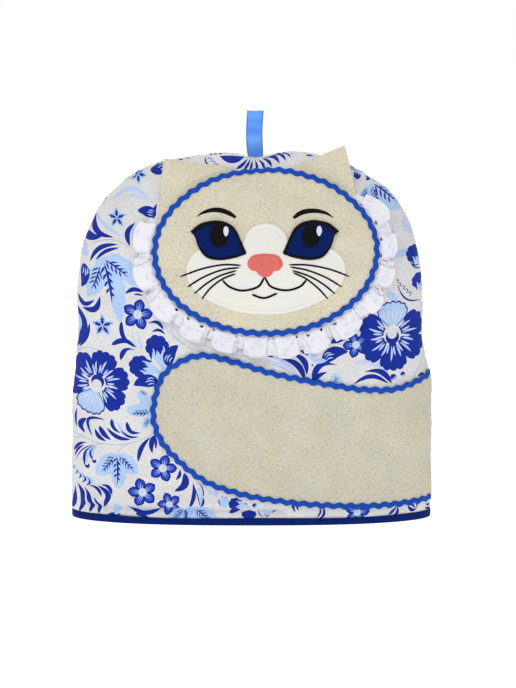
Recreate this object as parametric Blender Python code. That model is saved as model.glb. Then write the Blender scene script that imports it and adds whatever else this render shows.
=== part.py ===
"""A padded tea cosy with a cat's head and tail sewn on its front.

Metres, +Z up. The origin lies on the floor under the middle of the cosy, and the front faces -Y.

Every piece follows one surface, cloth(). Its coordinates are those of the flat panel before it is
sewn: u runs across the cloth from the middle, v runs up it from the hem. A piece that is sewn on is
drawn as the front shows it, in x and z, and flat_at() finds where that lies on the flat cloth.
"""

import math

import bmesh
import bpy
import numpy as np

GAP = 0.0003  # between pieces that touch

# The panels' outline, seen from the front
HEIGHT = 0.354  # floor to top seam
SHOULDER = 0.190  # over this height the sides round over to the top
SQUARENESS = 2.9  # of that rounding, where 2 is an ellipse
HALF_WIDTH_SHOULDER = {-1: 0.1690, 1: 0.1668}  # left and right of the middle
HALF_WIDTH_HEM = {-1: 0.1745, 1: 0.1748}
NARROWS_FROM = {-1: 0.080, 1: 0.125}  # the right side is straight for longer, then dented
TOP_DIP = (0.0043, 0.016, -0.0035)  # the ribbon pulls the top seam down: place, half length, height
TOP_RISE = (0.052, 0.035, 0.0022)  # and the right of it stands higher
TOP_FROM, TOP_TO = 0.250, 0.320  # these two fade in between these heights
NEAR_SEAM = 0.7  # and from this share of the way to the seam

# The oval, seen from above
HALF_DEPTH_HEM = 0.058
HALF_DEPTH = {"front": 0.068, "back": 0.0745}
SWELLS_TO = 0.110  # the height where the cosy is at its deepest
FLATNESS = 2.6  # of the front and back between the side seams, where 2 is an ellipse

# The padding, and how it narrows into the seams and into the hem
PAD = 0.008
SEAM_GROOVE = 0.0022
SEAM_GROOVE_WIDTH = 0.0045
HEM_PAD = 0.0046
GROOVE_FADES_IN = 0.0030  # above the binding
FOLDS_FADE_IN = 0.0120  # above the floor

# The binding is a U around the bottom edges
BINDING = 0.0012  # thickness
BINDING_HEIGHT = 0.0070
BINDING_RECESS = 0.0004  # from the panel's face to the binding's

# The pieces sewn on: the bottom and top of each above the panel's face. They follow a curved
# surface in flat facets, so each layer keeps more than the gap to the one below it.
LAYERS = {
    "tail": (0.0008, 0.0023),
    "tail_braid": (0.0029, 0.0044),
    "under_rim": (0.0006, 0.0018),  # the ears and the lace, where the head covers them
    "head": (0.0006, 0.0021),
    "head_rim": (0.0024, 0.0039),
    "muzzle": (0.0026, 0.0036),
    "features": (0.0042, 0.0053),  # eyes and nose
    "head_braid": (0.0045, 0.0060),
}

# The head's oval, as the front shows it
HEAD_X, HEAD_Z = 0.0135, 0.2645
HEAD_HALF_WIDTH, HEAD_HALF_HEIGHT = 0.1075, 0.0790
# The head's rings, as shares of its size. It climbs over what lies under its rim in the last but one.
HEAD_RINGS = [0, 0.30, 0.55, 0.76, 0.905, 1]
HEAD_STEPS = 48  # round it, which the ears share

MUZZLE_X, MUZZLE_Z = 0.0145, 0.2470
MUZZLE_HALF_WIDTH, MUZZLE_HALF_HEIGHT = 0.0755, 0.0405
BRIDGE_RISE, BRIDGE_HALF_WIDTH = 0.0110, 0.0190  # the bump between the eyes
MUZZLE_RINGS = [0, 0.40, 0.72, 1]

# Both eyes mirror each other. Their lids run from the outer corner to the inner one, given as how far
# out from the face's middle line and how far above the eyes' line they lie.
FACE_X, EYE_Z = 0.0129, 0.2767
UPPER_LID = [
    ("outer corner", 0.0701, 0.0080),
    ("rise", 0.0602, 0.0156),
    ("top", 0.0456, 0.0183),
    ("fall", 0.0321, 0.0130),
    ("side", 0.0243, 0.0015),
    ("inner corner", 0.0176, -0.0133),
]
LOWER_LID = [
    ("outer corner", 0.0701, 0.0080),
    ("side", 0.0655, 0.0045),
    ("side", 0.0636, -0.0045),
    ("fall", 0.0556, -0.0147),
    ("bottom", 0.0410, -0.0188),
    ("rise", 0.0269, -0.0164),
    ("inner corner", 0.0176, -0.0133),
]
EYE_MIDDLE = (0.0450, 0.0010)
SMALL_RINGS = [0, 0.5, 1]  # of the eyes and the nose

# Half of the nose's edge, from its top to its bottom: out from its middle line, and up
NOSE_X, NOSE_Z = 0.0134, 0.2530
NOSE_EDGE = [
    ("top", 0.0000, 0.0106),
    ("shoulder", 0.0120, 0.0085),
    ("side", 0.0168, 0.0010),
    ("nostril", 0.0132, -0.0050),
    ("notch", 0.0086, -0.0060),
    ("tip", 0.0055, -0.0098),
    ("bottom", 0.0000, -0.0120),
]

# Each ear: its tip in x and z, how far in front of the seam the tip stands, and where the ear meets
# the head's oval, in degrees anticlockwise from the oval's right end
EARS = {
    "left": ((-0.0835, 0.3500), 0.029, 157.5, 105.0),
    "right": ((0.0893, 0.3625), 0.026, 75.0, 37.5),
}
EAR_TUCK = 0.0060
EAR_HELD = 0.0050  # the braid holds the ear down this far past the rim
EAR_ROWS = 4  # from there to its tip

# The gathered lace round the head's oval. Its pleats meet at these places, in degrees anticlockwise
# from the oval's right end.
LACE_PLEATS = [
    *(161.5, 182.6, 202.9, 223.5, 240.7, 256.7, 272.6),
    *(287.7, 302.5, 322.0, 337.4, 354.0, 373.7, 393.3),
]
LACE_STEPS = 9  # to one pleat
LACE_TUCK = 0.0060
LACE_HELD = 0.0045  # the braid holds the lace down this far past the rim
LACE_WIDTH_SIDE, LACE_WIDTH_BOTTOM = 0.0215, 0.0265
LACE_THICK = 0.0011
LACE_SCALLOP = 0.16  # share of the width that is lost between two pleats
LACE_LIFT, LACE_LIFT_AT_BRAID = 0.0062, 0.1  # a pleat's height, and the share of it beside the braid
LACE_LOW, LACE_HEIGHTS = 0.65, 9  # the lowest pleat's share of that, and how often the heights change
LACE_FULLNESS = 0.8  # 1 for a round pleat, less for a flat-topped one
LACE_FOOT, LACE_TILT = 0.0004, 0.0020  # the height between pleats, at the braid and added at the edge
LACE_LEAN = 2.0  # degrees that a pleat's sides lean over
LACE_END, LACE_END_WIDTH, LACE_END_LEAN = 0.05, 0.3, 4  # its end by the right ear narrows and leans up

# The tail's edge on the flat cloth, from the side seam round its tip and back to the seam
TAIL_EDGE = [
    ("seam, top", 0.1970, 0.1510),
    ("dip", 0.1450, 0.1330),
    ("dip", 0.1120, 0.1305),
    ("dip end", 0.0900, 0.1335),
    ("top", 0.0260, 0.1455),
    ("top", -0.0205, 0.1600),
    ("shoulder", -0.0460, 0.1665),
    ("shoulder", -0.0670, 0.1600),
    ("tip, top", -0.0855, 0.1440),
    ("tip", -0.0935, 0.1130),
    ("tip, bottom", -0.0890, 0.0900),
    ("bottom", -0.0740, 0.0690),
    ("bottom", -0.0440, 0.0440),
    ("bottom", -0.0090, 0.0315),
    ("bottom", 0.0310, 0.0240),
    ("bottom", 0.0850, 0.0215),
    ("bottom", 0.1400, 0.0220),
    ("seam, bottom", 0.1970, 0.0260),
]
TAIL_MIDDLE = (0.0400, 0.0850)
TAIL_RINGS = [0, 0.22, 0.42, 0.58, 0.72, 0.82, 0.89, 0.945, 1]  # closer where the side turns back
TAIL_STEPS = 46  # round it

BRAID_WIDTH = 0.0056
BRAID_SWING = 0.0018  # of its waves, each way
BRAID_WAVE = 0.0114  # length of one wave
BRAID_STEPS = 4  # to one wave
BRAID_INSIDE = 0.0005  # its middle lies this far inside the head's rim

LOOP_X, LOOP_HALF_WIDTH = 0.0043, 0.0079
LOOP_TOP = 0.3940
LOOP_BOW = 0.0042  # half its depth at the widest
LOOP_LEAN = 0.0012
LOOP_ROUTE = [  # shares of that bow and of the height, from the seam up to the fold
    (0.18, 0),
    (0.30, 0.10),
    (0.75, 0.30),
    (1.00, 0.55),
    (0.85, 0.80),
    (0.45, 0.96),
]
RIBBON = 0.0010

# Soft folds in each panel's face: from and to in the flat cloth, half width, and height
FOLDS = {
    "front": [
        (-0.165, 0.0165, 0.030, 0.0150, 0.0035, -0.0022),  # the padding folds over above the hem
        (-0.170, 0.0240, -0.010, 0.0230, 0.0060, 0.0014),
        (0.150, 0.175, 0.185, 0.215, 0.0220, -0.0022),  # dent at the right side
        (-0.120, 0.205, -0.175, 0.240, 0.0200, -0.0014),
    ],
    "back": [
        (-0.120, 0.0150, 0.120, 0.0165, 0.0040, -0.0018),
        (-0.130, 0.0260, 0.130, 0.0270, 0.0110, 0.0014),
        (-0.150, 0.165, -0.060, 0.215, 0.0240, -0.0026),
        (0.165, 0.130, 0.090, 0.190, 0.0220, -0.0020),
        (0.000, 0.370, 0.030, 0.300, 0.0200, -0.0020),
    ],
}

# How finely the panels are divided
PANEL_COLUMNS = [0, 0.1, 0.2, 0.3, 0.4, 0.5, 0.6, 0.7, 0.8, 0.89, 0.955, 0.985, 1]
PANEL_RAYS = [7.5 * step for step in range(-12, 13) if step not in (0, 1)] + [-2, 1.5, 5, 9]
# Heights above the floor, with how far the panel's face and its inner side lie from its full face
HEM_BOTTOM = BINDING + GAP
HEM_FACE = -(BINDING_RECESS + BINDING + GAP)
PANEL_ROWS = [
    (HEM_BOTTOM, HEM_FACE, HEM_FACE - HEM_PAD),
    (BINDING_HEIGHT + GAP, HEM_FACE, HEM_FACE - HEM_PAD),
    (0.0082, 0, HEM_FACE - HEM_PAD - 0.0005),
    (0.0118, 0, -PAD),
    (0.0160, 0, -PAD),
    (0.0205, 0, -PAD),
    (0.0280, 0, -PAD),
    (0.0420, 0, -PAD),
    (0.0650, 0, -PAD),
    (0.0900, 0, -PAD),
    (0.1150, 0, -PAD),
    (0.1400, 0, -PAD),
    (0.1650, 0, -PAD),
    (SHOULDER, 0, -PAD),
]

COLOURS = {  # colour and roughness
    "print_cloth": ((0.47, 0.52, 0.70), 0.85),
    "linen": ((0.60, 0.55, 0.42), 0.88),
    "white_cloth": ((0.80, 0.79, 0.76), 0.85),
    "lace": ((0.82, 0.83, 0.86), 0.80),
    "blue_braid": ((0.013, 0.092, 0.50), 0.65),
    "navy_binding": ((0.003, 0.018, 0.14), 0.75),
    "ribbon": ((0.12, 0.34, 0.88), 0.38),
    "navy_eye": ((0.004, 0.018, 0.10), 0.60),
    "coral_nose": ((0.68, 0.17, 0.14), 0.70),
}


# ---------------------------------------------------------------- the shape of the cosy


def smooth(share):
    share = np.clip(share, 0, 1)
    return share * share * (3 - 2 * share)


def oval_profile():
    """From the middle of the front to just past the side seam: the share of the cloth used, of the
    half width and of the half depth, and the cloth's length as a multiple of the half width."""
    angle = np.linspace(0, 0.56 * math.pi, 2000)
    out = np.sin(angle) ** (2 / FLATNESS)
    deep = np.cos(angle)
    slimness = HALF_DEPTH["front"] / HALF_WIDTH_SHOULDER[1]
    along = np.concatenate([[0], np.cumsum(np.hypot(np.diff(out), np.diff(deep) * slimness))])
    length = np.interp(math.pi / 2, angle, along)
    return along / length, out, deep, length


ALONG, OUT, DEEP, CUT = oval_profile()
RISE = HEIGHT - SHOULDER


def half_width(u, v):
    """Half the width at height v, on the side of the middle where u is."""
    side = np.where(u < 0, -1, 1)
    hem, shoulder, start = (
        np.where(side < 0, table[-1], table[1])
        for table in (HALF_WIDTH_HEM, HALF_WIDTH_SHOULDER, NARROWS_FROM)
    )
    return hem + (shoulder - hem) * smooth((v - start) / (SHOULDER - start))


def seam_share(across, up):
    """0 in the middle of the panel and 1 on its seam."""
    return (np.abs(across) ** SQUARENESS + up**SQUARENESS) ** (1 / SQUARENESS)


def half_depth(side, z):
    return HALF_DEPTH_HEM + (HALF_DEPTH[side] - HALF_DEPTH_HEM) * smooth(
        (z - BINDING_HEIGHT) / (SWELLS_TO - BINDING_HEIGHT)
    )


def bump(x, row):
    place, half_length, height = row
    return height * np.exp(-(((x - place) / half_length) ** 2))


def cloth(side, u, v):
    """The panel's face without its folds, on the sewn cosy."""
    half = half_width(u, v)
    across = u / (half * CUT)
    up = np.clip(v - SHOULDER, 0, None) / (RISE * CUT)
    share = seam_share(across, up)
    swell = np.interp(share, ALONG, OUT) / np.maximum(share, 1e-9)
    x = half * across * swell
    z = np.minimum(v, SHOULDER) + RISE * up * swell
    y = half_depth(side, z) * np.interp(share, ALONG, DEEP)
    near_top = smooth((share - NEAR_SEAM) / (1 - NEAR_SEAM)) * smooth((z - TOP_FROM) / (TOP_TO - TOP_FROM))
    z = z + near_top * (bump(x, TOP_DIP) + bump(x, TOP_RISE))
    return np.stack([x, -y if side == "front" else y, z], axis=-1)


def outward(side, u, v, step=0.0001):
    across = cloth(side, u + step, v) - cloth(side, u - step, v)
    up = cloth(side, u, v + step) - cloth(side, u, v - step)
    normal = np.cross(across, up) * (1 if side == "front" else -1)
    return normal / np.linalg.norm(normal, axis=-1, keepdims=True)


def folds(side, u, v):
    """How far the soft folds raise the panel's face."""
    raised = np.zeros(np.broadcast(u, v).shape)
    for from_u, from_v, to_u, to_v, half, height in FOLDS[side]:
        run_u, run_v = to_u - from_u, to_v - from_v
        share = ((u - from_u) * run_u + (v - from_v) * run_v) / (run_u**2 + run_v**2)
        share = np.clip(share, 0, 1)
        away = np.hypot(u - from_u - share * run_u, v - from_v - share * run_v)
        raised = raised + height * np.exp(-((away / half) ** 2))
    return raised


def groove(u, v):
    """The seam draws the padding in along the side and top edges."""
    up = np.clip(v - SHOULDER, 0, None) / (RISE * CUT)
    to_seam = (1 - seam_share(u / (half_width(u, v) * CUT), up)) * CUT * HALF_WIDTH_SHOULDER[1]
    return -SEAM_GROOVE * np.exp(-((to_seam / SEAM_GROOVE_WIDTH) ** 2))


def on_cloth(u, v, lift, side="front"):
    """A point that lies lift above the folded face."""
    lift = np.asarray(lift + folds(side, u, v))[..., None]
    return cloth(side, u, v) + outward(side, u, v) * lift


def flat_at(x, z):
    """Where on the flat cloth the point lies that the front shows at x and z."""
    half = half_width(x, np.minimum(z, SHOULDER))
    across, up = x / half, np.clip(z - SHOULDER, 0, None) / RISE
    seen = seam_share(across, up)
    spread = np.interp(seen, OUT[ALONG <= 1], ALONG[ALONG <= 1]) / np.maximum(seen, 1e-9)
    return across * spread * half * CUT, np.minimum(z, SHOULDER) + up * spread * RISE * CUT


def on_front(x, z, lift):
    u, v = flat_at(x, z)
    return on_cloth(u, v, lift)


# ---------------------------------------------------------------- building helpers


def finish(name, bm, colour):
    bmesh.ops.remove_doubles(bm, verts=bm.verts, dist=1e-6)
    bmesh.ops.recalc_face_normals(bm, faces=bm.faces)
    mesh = bpy.data.meshes.new(name)
    bm.to_mesh(mesh)
    bm.free()
    mesh.shade_smooth()
    mesh.set_sharp_from_angle(angle=math.radians(50))
    mesh.materials.append(finish_of(colour))
    obj = bpy.data.objects.new(name, mesh)
    obj.parent = bpy.data.objects["tea_cosy"]
    bpy.context.collection.objects.link(obj)
    return obj


def finish_of(colour):
    if colour in bpy.data.materials:
        return bpy.data.materials[colour]
    tone, roughness = COLOURS[colour]
    material = bpy.data.materials.new(colour)
    material.use_nodes = True
    shader = material.node_tree.nodes["Principled BSDF"]
    shader.inputs["Base Color"].default_value = (*tone, 1)
    shader.inputs["Roughness"].default_value = roughness
    material.diffuse_color = (*tone, 1)
    return material


def two_faces(name, colour, face, back, closed=False, walls=("first", "last", "start", "end")):
    """A piece of cloth from its two faces, each a grid of rows by stations.

    walls says which edges of the two grids are joined: the first and last row, and the start and
    end of each row. closed joins the end of each row to its start instead."""
    rows, stations = face.shape[:2]
    bm = bmesh.new()
    grids = [
        [[bm.verts.new(point) for point in row] for row in grid] for grid in (face, back)
    ]
    runs = stations if closed else stations - 1
    for i in range(rows - 1):
        for j in range(runs):
            k = (j + 1) % stations
            for grid in grids:
                corners = [grid[i][j], grid[i][k], grid[i + 1][k], grid[i + 1][j]]
                bm.faces.new(corners if grid is grids[0] else corners[::-1])
    for wall, i in (("first", 0), ("last", rows - 1)):
        if wall in walls:
            for j in range(runs):
                k = (j + 1) % stations
                bm.faces.new([grids[0][i][j], grids[0][i][k], grids[1][i][k], grids[1][i][j]])
    for wall, j in (("start", 0), ("end", stations - 1)):
        if wall in walls and not closed:
            for i in range(rows - 1):
                bm.faces.new(
                    [grids[0][i][j], grids[0][i + 1][j], grids[1][i + 1][j], grids[1][i][j]]
                )
    return finish(name, bm, colour)


def drawn(outline):
    """The points on the flat cloth of an outline drawn in x and z, as the front shows it."""
    return np.stack(flat_at(*np.asarray(outline, float).T), axis=-1)


def disc_of_cloth(name, colour, outline, middle, rings, bottom, top):
    """A piece of cloth inside an outline on the flat cloth. rings are its shares of the way from
    its middle to its outline, and bottom and top give its faces' heights at such a share."""
    share = np.array(rings, float)[:, None] + 0 * outline[:, 0]
    u = middle[0] + share * (outline[:, 0] - middle[0])
    v = middle[1] + share * (outline[:, 1] - middle[1])
    face, back = (on_cloth(u, v, height(share)) for height in (top, bottom))
    return two_faces(name, colour, face, back, closed=True, walls=("last",))


def flat_layer(name):
    """Bottom and top of a layer, as disc_of_cloth takes them."""
    return [lambda share, height=height: height + 0 * share for height in LAYERS[name]]


def even_steps(points, count, closed=False):
    """The same line with count points evenly spaced along it."""
    if closed:
        points = np.concatenate([points, points[:1]])
    along = np.concatenate([[0], np.cumsum(np.linalg.norm(np.diff(points, axis=0), axis=1))])
    at = np.linspace(0, along[-1], count, endpoint=not closed)
    return np.stack([np.interp(at, along, column) for column in points.T], axis=1)


def curve_through(points, steps=12):
    """A smooth curve through the points, after Catmull and Rom."""
    points = np.asarray(points, float)
    padded = np.concatenate([[2 * points[0] - points[1]], points, [2 * points[-1] - points[-2]]])
    t = np.linspace(0, 1, steps, endpoint=False)[:, None]
    pieces = [
        0.5 * (2 * b + (c - a) * t + (2 * a - 5 * b + 4 * c - d) * t**2 + (3 * b - a - 3 * c + d) * t**3)
        for a, b, c, d in zip(padded, padded[1:], padded[2:], padded[3:])
    ]
    return np.concatenate([*pieces, points[-1:]])


def oval_point(degrees, beyond=0.0):
    """A point beyond the head's oval by that much, in x and z."""
    angle = np.radians(degrees)
    normal = np.stack([np.cos(angle) / HEAD_HALF_WIDTH, np.sin(angle) / HEAD_HALF_HEIGHT], -1)
    normal /= np.linalg.norm(normal, axis=-1, keepdims=True)
    on = np.stack(
        [
            HEAD_X + HEAD_HALF_WIDTH * np.cos(angle),
            HEAD_Z + HEAD_HALF_HEIGHT * np.sin(angle),
        ],
        -1,
    )
    return on + normal * np.asarray(beyond)[..., None]


# ---------------------------------------------------------------- the padded panels and the hem


def horseshoe(share):
    """The line round the panel that lies at this share of the way to its seam: up the left side,
    over the top and down the right side, in the flat cloth."""
    heights = np.array([row[0] for row in PANEL_ROWS])
    turn = np.radians(sorted(PANEL_RAYS)[1:-1])
    across, up = np.sin(turn), np.cos(turn)
    rounding = share / seam_share(across, up)
    across = np.concatenate([-share + 0 * heights, across * rounding, share + 0 * heights])
    up = np.concatenate([0 * heights, up * rounding, 0 * heights])
    v = np.concatenate([heights, SHOULDER + 0 * turn, heights[::-1]]) + up * RISE * CUT
    return across * half_width(across, v) * CUT, v


def panel(side):
    flat = [horseshoe(share) for share in PANEL_COLUMNS]
    u, v = (np.array(values) for values in zip(*flat))
    heights, face_at, inside_at = (np.array(column) for column in zip(*PANEL_ROWS))
    face_lift = np.interp(v, heights, face_at) + folds(side, u, v) * smooth(v / FOLDS_FADE_IN)
    face_lift = face_lift + groove(u, v) * smooth((v - BINDING_HEIGHT) / GROOVE_FADES_IN)
    inside_lift = np.interp(v, heights, inside_at)
    normal = outward(side, u, v)
    face = cloth(side, u, v) + normal * face_lift[..., None]
    inside = cloth(side, u, v) + normal * inside_lift[..., None]
    for grid in (face, inside):
        grid[:, :, 1] += -GAP / 2 if side == "front" else GAP / 2
    return two_faces(
        f"panel_{side}", "print_cloth", face, inside, walls=("last", "start", "end")
    )


def hem_binding():
    """A U around the bottom edges of both panels, all the way round."""
    columns = np.array(PANEL_COLUMNS)
    across = np.concatenate([-columns[:0:-1], columns])
    u = across * half_width(across, 0) * CUT
    front, back = (
        (cloth(side, u, 0 * u), outward(side, u, 0 * u)) for side in ("front", "back")
    )
    line = np.concatenate([front[0], back[0][-2:0:-1]])
    normal = np.concatenate([front[1], back[1][-2:0:-1]])
    outer = -BINDING_RECESS
    inner = HEM_FACE - HEM_PAD - GAP - BINDING
    profile = [  # how far out of the panel's face, and how high, for the two sides of the U
        [(outer, BINDING_HEIGHT), (outer, 0), (inner, 0), (inner, BINDING_HEIGHT)],
        [
            (outer - BINDING, BINDING_HEIGHT),
            (outer - BINDING, BINDING),
            (inner + BINDING, BINDING),
            (inner + BINDING, BINDING_HEIGHT),
        ],
    ]
    outside, inside = (
        np.array([line + normal * out + [0, 0, height] for out, height in row]) for row in profile
    )
    return two_faces(
        "hem_binding", "navy_binding", outside, inside, closed=True, walls=("first", "last")
    )


# ---------------------------------------------------------------- head, ears, lace and tail


def head():
    def height(which):
        low, rim = LAYERS["head"][which], LAYERS["head_rim"][which]
        return lambda share: np.where(share > HEAD_RINGS[3], rim, low)

    outline = oval_point(np.linspace(0, 360, HEAD_STEPS, endpoint=False))
    middle = drawn([(HEAD_X, HEAD_Z)])[0]
    return disc_of_cloth("head", "linen", drawn(outline), middle, HEAD_RINGS, height(0), height(1))


def ear(side):
    """A triangle that runs under the head's rim and its braid, and straight on to its tip."""
    tip, tip_depth, *reach = EARS[side]
    seat, top = LAYERS["under_rim"]
    step = 360 / HEAD_STEPS
    degrees = np.linspace(*reach, round(abs(reach[1] - reach[0]) / step) + 1)
    held = [oval_point(degrees, beyond) for beyond in (-EAR_TUCK, 0, EAR_HELD)]
    backs = [on_front(*row.T, seat) for row in held]
    faces = [on_front(*row.T, top) for row in held]
    start, normal = backs[-1], outward("front", *flat_at(*held[-1].T))
    for share in np.linspace(0, 1, EAR_ROWS + 1)[1:]:
        row = start + share * (np.array([tip[0], -tip_depth, tip[1]]) - start)
        row[:, 1] = np.minimum(row[:, 1], front_y(row) - seat)
        backs.append(row)
        faces.append(row + normal * (top - seat))
    return two_faces(f"ear_{side}", "linen", np.array(faces), np.array(backs))


def front_y(points):
    """How far forward the front's face is behind these points, and 0 past its outline."""
    x, z = points[:, 0], points[:, 2]
    up = np.clip(z - SHOULDER, 0, None) / RISE
    inside = seam_share(x / half_width(x, np.minimum(z, SHOULDER)), up) < 0.995
    return np.where(inside, on_front(x, z, 0)[:, 1], 0)


def ruffle():
    """Gathered lace: it lies flat under the head's rim, and its free edge stands in pleats."""
    pleats = len(LACE_PLEATS) - 1
    phase = np.linspace(0, pleats, pleats * LACE_STEPS + 1)
    degrees = np.interp(phase, range(pleats + 1), LACE_PLEATS)
    share = phase / pleats
    pleat = np.abs(np.sin(math.pi * phase)) ** LACE_FULLNESS
    change = 0.5 + 0.5 * np.sin(LACE_HEIGHTS * math.pi * share + 1)
    rise = LACE_LIFT * (LACE_LOW + (1 - LACE_LOW) * change) * pleat
    before_end = smooth((1 - share) / LACE_END)
    below = np.clip(-np.sin(np.radians(degrees)), 0, 1)
    width = LACE_WIDTH_SIDE + (LACE_WIDTH_BOTTOM - LACE_WIDTH_SIDE) * below
    width = width * (1 - LACE_SCALLOP * (1 - pleat))
    width = width * (LACE_END_WIDTH + (1 - LACE_END_WIDTH) * before_end)

    rows = [(degrees, 0 * share - LACE_TUCK, 0 * share), (degrees, 0 * share, 0 * share)]
    for out in (0, 0.5, 1):  # from the braid to the free edge
        beyond = LACE_HELD + out * (width - LACE_HELD)
        lean = out * (LACE_LEAN * np.sin(2 * math.pi * phase) + LACE_END_LEAN * (1 - before_end))
        standing = LACE_LIFT_AT_BRAID + (1 - LACE_LIFT_AT_BRAID) * out
        rows.append((degrees + lean, beyond, LACE_FOOT + out * LACE_TILT + rise * standing))
    faces = [
        np.array([on_front(*oval_point(turn, beyond).T, seat + lift) for turn, beyond, lift in rows])
        for seat in (LAYERS["under_rim"][0] + LACE_THICK, LAYERS["under_rim"][0])
    ]
    return two_faces("ruffle", "lace", *faces)


def muzzle():
    angle = np.radians(np.linspace(0, 360, 34, endpoint=False))
    x = MUZZLE_HALF_WIDTH * np.cos(angle)
    z = MUZZLE_HALF_HEIGHT * np.sin(angle)
    z = z + np.where(z > 0, BRIDGE_RISE * np.exp(-((x / BRIDGE_HALF_WIDTH) ** 4)), 0)
    outline = np.stack([MUZZLE_X + x, MUZZLE_Z + z], axis=-1)
    middle = drawn([(MUZZLE_X, MUZZLE_Z)])[0]
    return disc_of_cloth(
        "muzzle", "white_cloth", drawn(outline), middle, MUZZLE_RINGS, *flat_layer("muzzle")
    )


def eye(side):
    """An almond: two bowed lids that meet in the corners."""
    mirror = -1 if side == "left" else 1
    upper, lower = (curve_through([row[1:] for row in lid], 2) for lid in (UPPER_LID, LOWER_LID))
    outline = np.concatenate([upper, lower[-2:0:-1]]) * [mirror, 1] + [FACE_X, EYE_Z]
    middle = (FACE_X + mirror * EYE_MIDDLE[0], EYE_Z + EYE_MIDDLE[1])
    return disc_of_cloth(
        f"eye_{side}",
        "navy_eye",
        drawn(outline),
        drawn([middle])[0],
        SMALL_RINGS,
        *flat_layer("features"),
    )


def nose():
    """Wide at the top, with a lobe at either side and one below."""
    half = [row[1:] for row in NOSE_EDGE]
    other = [(-out, up) for out, up in half[-2::-1]]
    outline = curve_through(half + other, 2)[:-1] + [NOSE_X, NOSE_Z]
    middle = drawn([(NOSE_X, NOSE_Z)])[0]
    return disc_of_cloth(
        "nose", "coral_nose", drawn(outline), middle, SMALL_RINGS, *flat_layer("features")
    )


def tail_edge():
    return curve_through([(u, v) for _, u, v in TAIL_EDGE])


def tail():
    edge = tail_edge()
    seam = np.linspace(edge[-1], edge[0], 8)[1:-1]
    outline = even_steps(np.concatenate([edge, seam]), TAIL_STEPS, closed=True)
    return disc_of_cloth("tail", "linen", outline, TAIL_MIDDLE, TAIL_RINGS, *flat_layer("tail"))


def braid(name, line, lifts, closed):
    """Rickrack: a band of even width that swings from side to side along a line on the cloth."""
    ends = np.concatenate([line, line[:1]]) if closed else line
    length = np.linalg.norm(np.diff(ends, axis=0), axis=1).sum()
    waves = round(length / BRAID_WAVE)
    steps = waves * BRAID_STEPS
    place = even_steps(line, steps + (not closed), closed)
    swing = BRAID_SWING * np.sin(2 * math.pi * np.arange(len(place)) / BRAID_STEPS)
    wavy = place + sideways(place, closed) * swing[:, None]
    edge = sideways(place, closed) * BRAID_WIDTH / 2
    bottom, top = (
        np.array([on_cloth(*side.T, lift) for side in (wavy + edge, wavy - edge)])
        for lift in lifts
    )
    return two_faces(name, "blue_braid", top, bottom, closed=closed)


def sideways(points, closed):
    """The direction to the left of a line at each of its points."""
    run = np.roll(points, -1, axis=0) - np.roll(points, 1, axis=0)
    if not closed:
        run[0], run[-1] = points[1] - points[0], points[-1] - points[-2]
    across = np.stack([-run[:, 1], run[:, 0]], axis=1)
    return across / np.linalg.norm(across, axis=1, keepdims=True)


def top_seam(x):
    """The height of the top seam's groove."""
    x = np.array([x])
    rounding = (1 - (np.abs(x) / half_width(x, SHOULDER)) ** SQUARENESS) ** (1 / SQUARENESS)
    return on_front(x, SHOULDER + RISE * rounding, -SEAM_GROOVE)[0, 2]


def hang_loop():
    """The ribbon runs up from the top seam, folds over and runs down behind itself."""
    edges = []
    for edge in (-LOOP_HALF_WIDTH, LOOP_HALF_WIDTH):
        foot = top_seam(LOOP_X + edge) + 2 * GAP
        rise = LOOP_TOP - foot
        up = [(bow * LOOP_BOW, foot + share * rise) for bow, share in LOOP_ROUTE]
        down = [(-out, height) for out, height in up[::-1]]
        line = curve_through([*up, (0, LOOP_TOP), *down], 3)
        lean = LOOP_LEAN * np.sin(math.pi * np.clip((line[:, 1] - foot) / rise, 0, 1))
        normal = sideways(line, closed=False)
        edges.append([(line + normal * out, LOOP_X + edge - lean) for out in (-RIBBON / 2, RIBBON / 2)])
    faces = [
        np.array([np.stack([x, -path[:, 0], path[:, 1]], axis=1) for path, x in face])
        for face in zip(*edges)
    ]
    return two_faces("hang_loop", "ribbon", *faces)


# ---------------------------------------------------------------- the whole cosy


def main():
    for old in list(bpy.data.objects):
        bpy.data.objects.remove(old)
    root = bpy.data.objects.new("tea_cosy", None)
    bpy.context.collection.objects.link(root)

    for side in ("front", "back"):
        panel(side)
    hem_binding()
    hang_loop()
    head()
    for side in ("left", "right"):
        ear(side)
        eye(side)
    ruffle()
    muzzle()
    nose()
    tail()
    rim = drawn(oval_point(np.linspace(0, 360, 200, endpoint=False), -BRAID_INSIDE))
    braid("rickrack_face", rim, LAYERS["head_braid"], closed=True)
    braid("rickrack_tail", tail_edge(), LAYERS["tail_braid"], closed=False)


main()
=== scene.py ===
# %% [markdown]
# # A padded tea cosy with a cat on its front
# A tea cosy is a padded cover that keeps a pot warm. This one is sewn from two arched panels of
# half-linen cloth with a blue folk print. A cat's head and tail of plain linen are sewn on its front,
# trimmed with rickrack braid and gathered eyelet lace. A navy binding closes the hem, and a satin
# ribbon stands on top. The construction is loaded first, as a frame that nothing here moves.

# %% The frame
import math

import bmesh
import bpy
import numpy as np
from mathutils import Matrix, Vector
from mathutils.geometry import delaunay_2d_cdt
from mathutils.kdtree import KDTree


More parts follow.
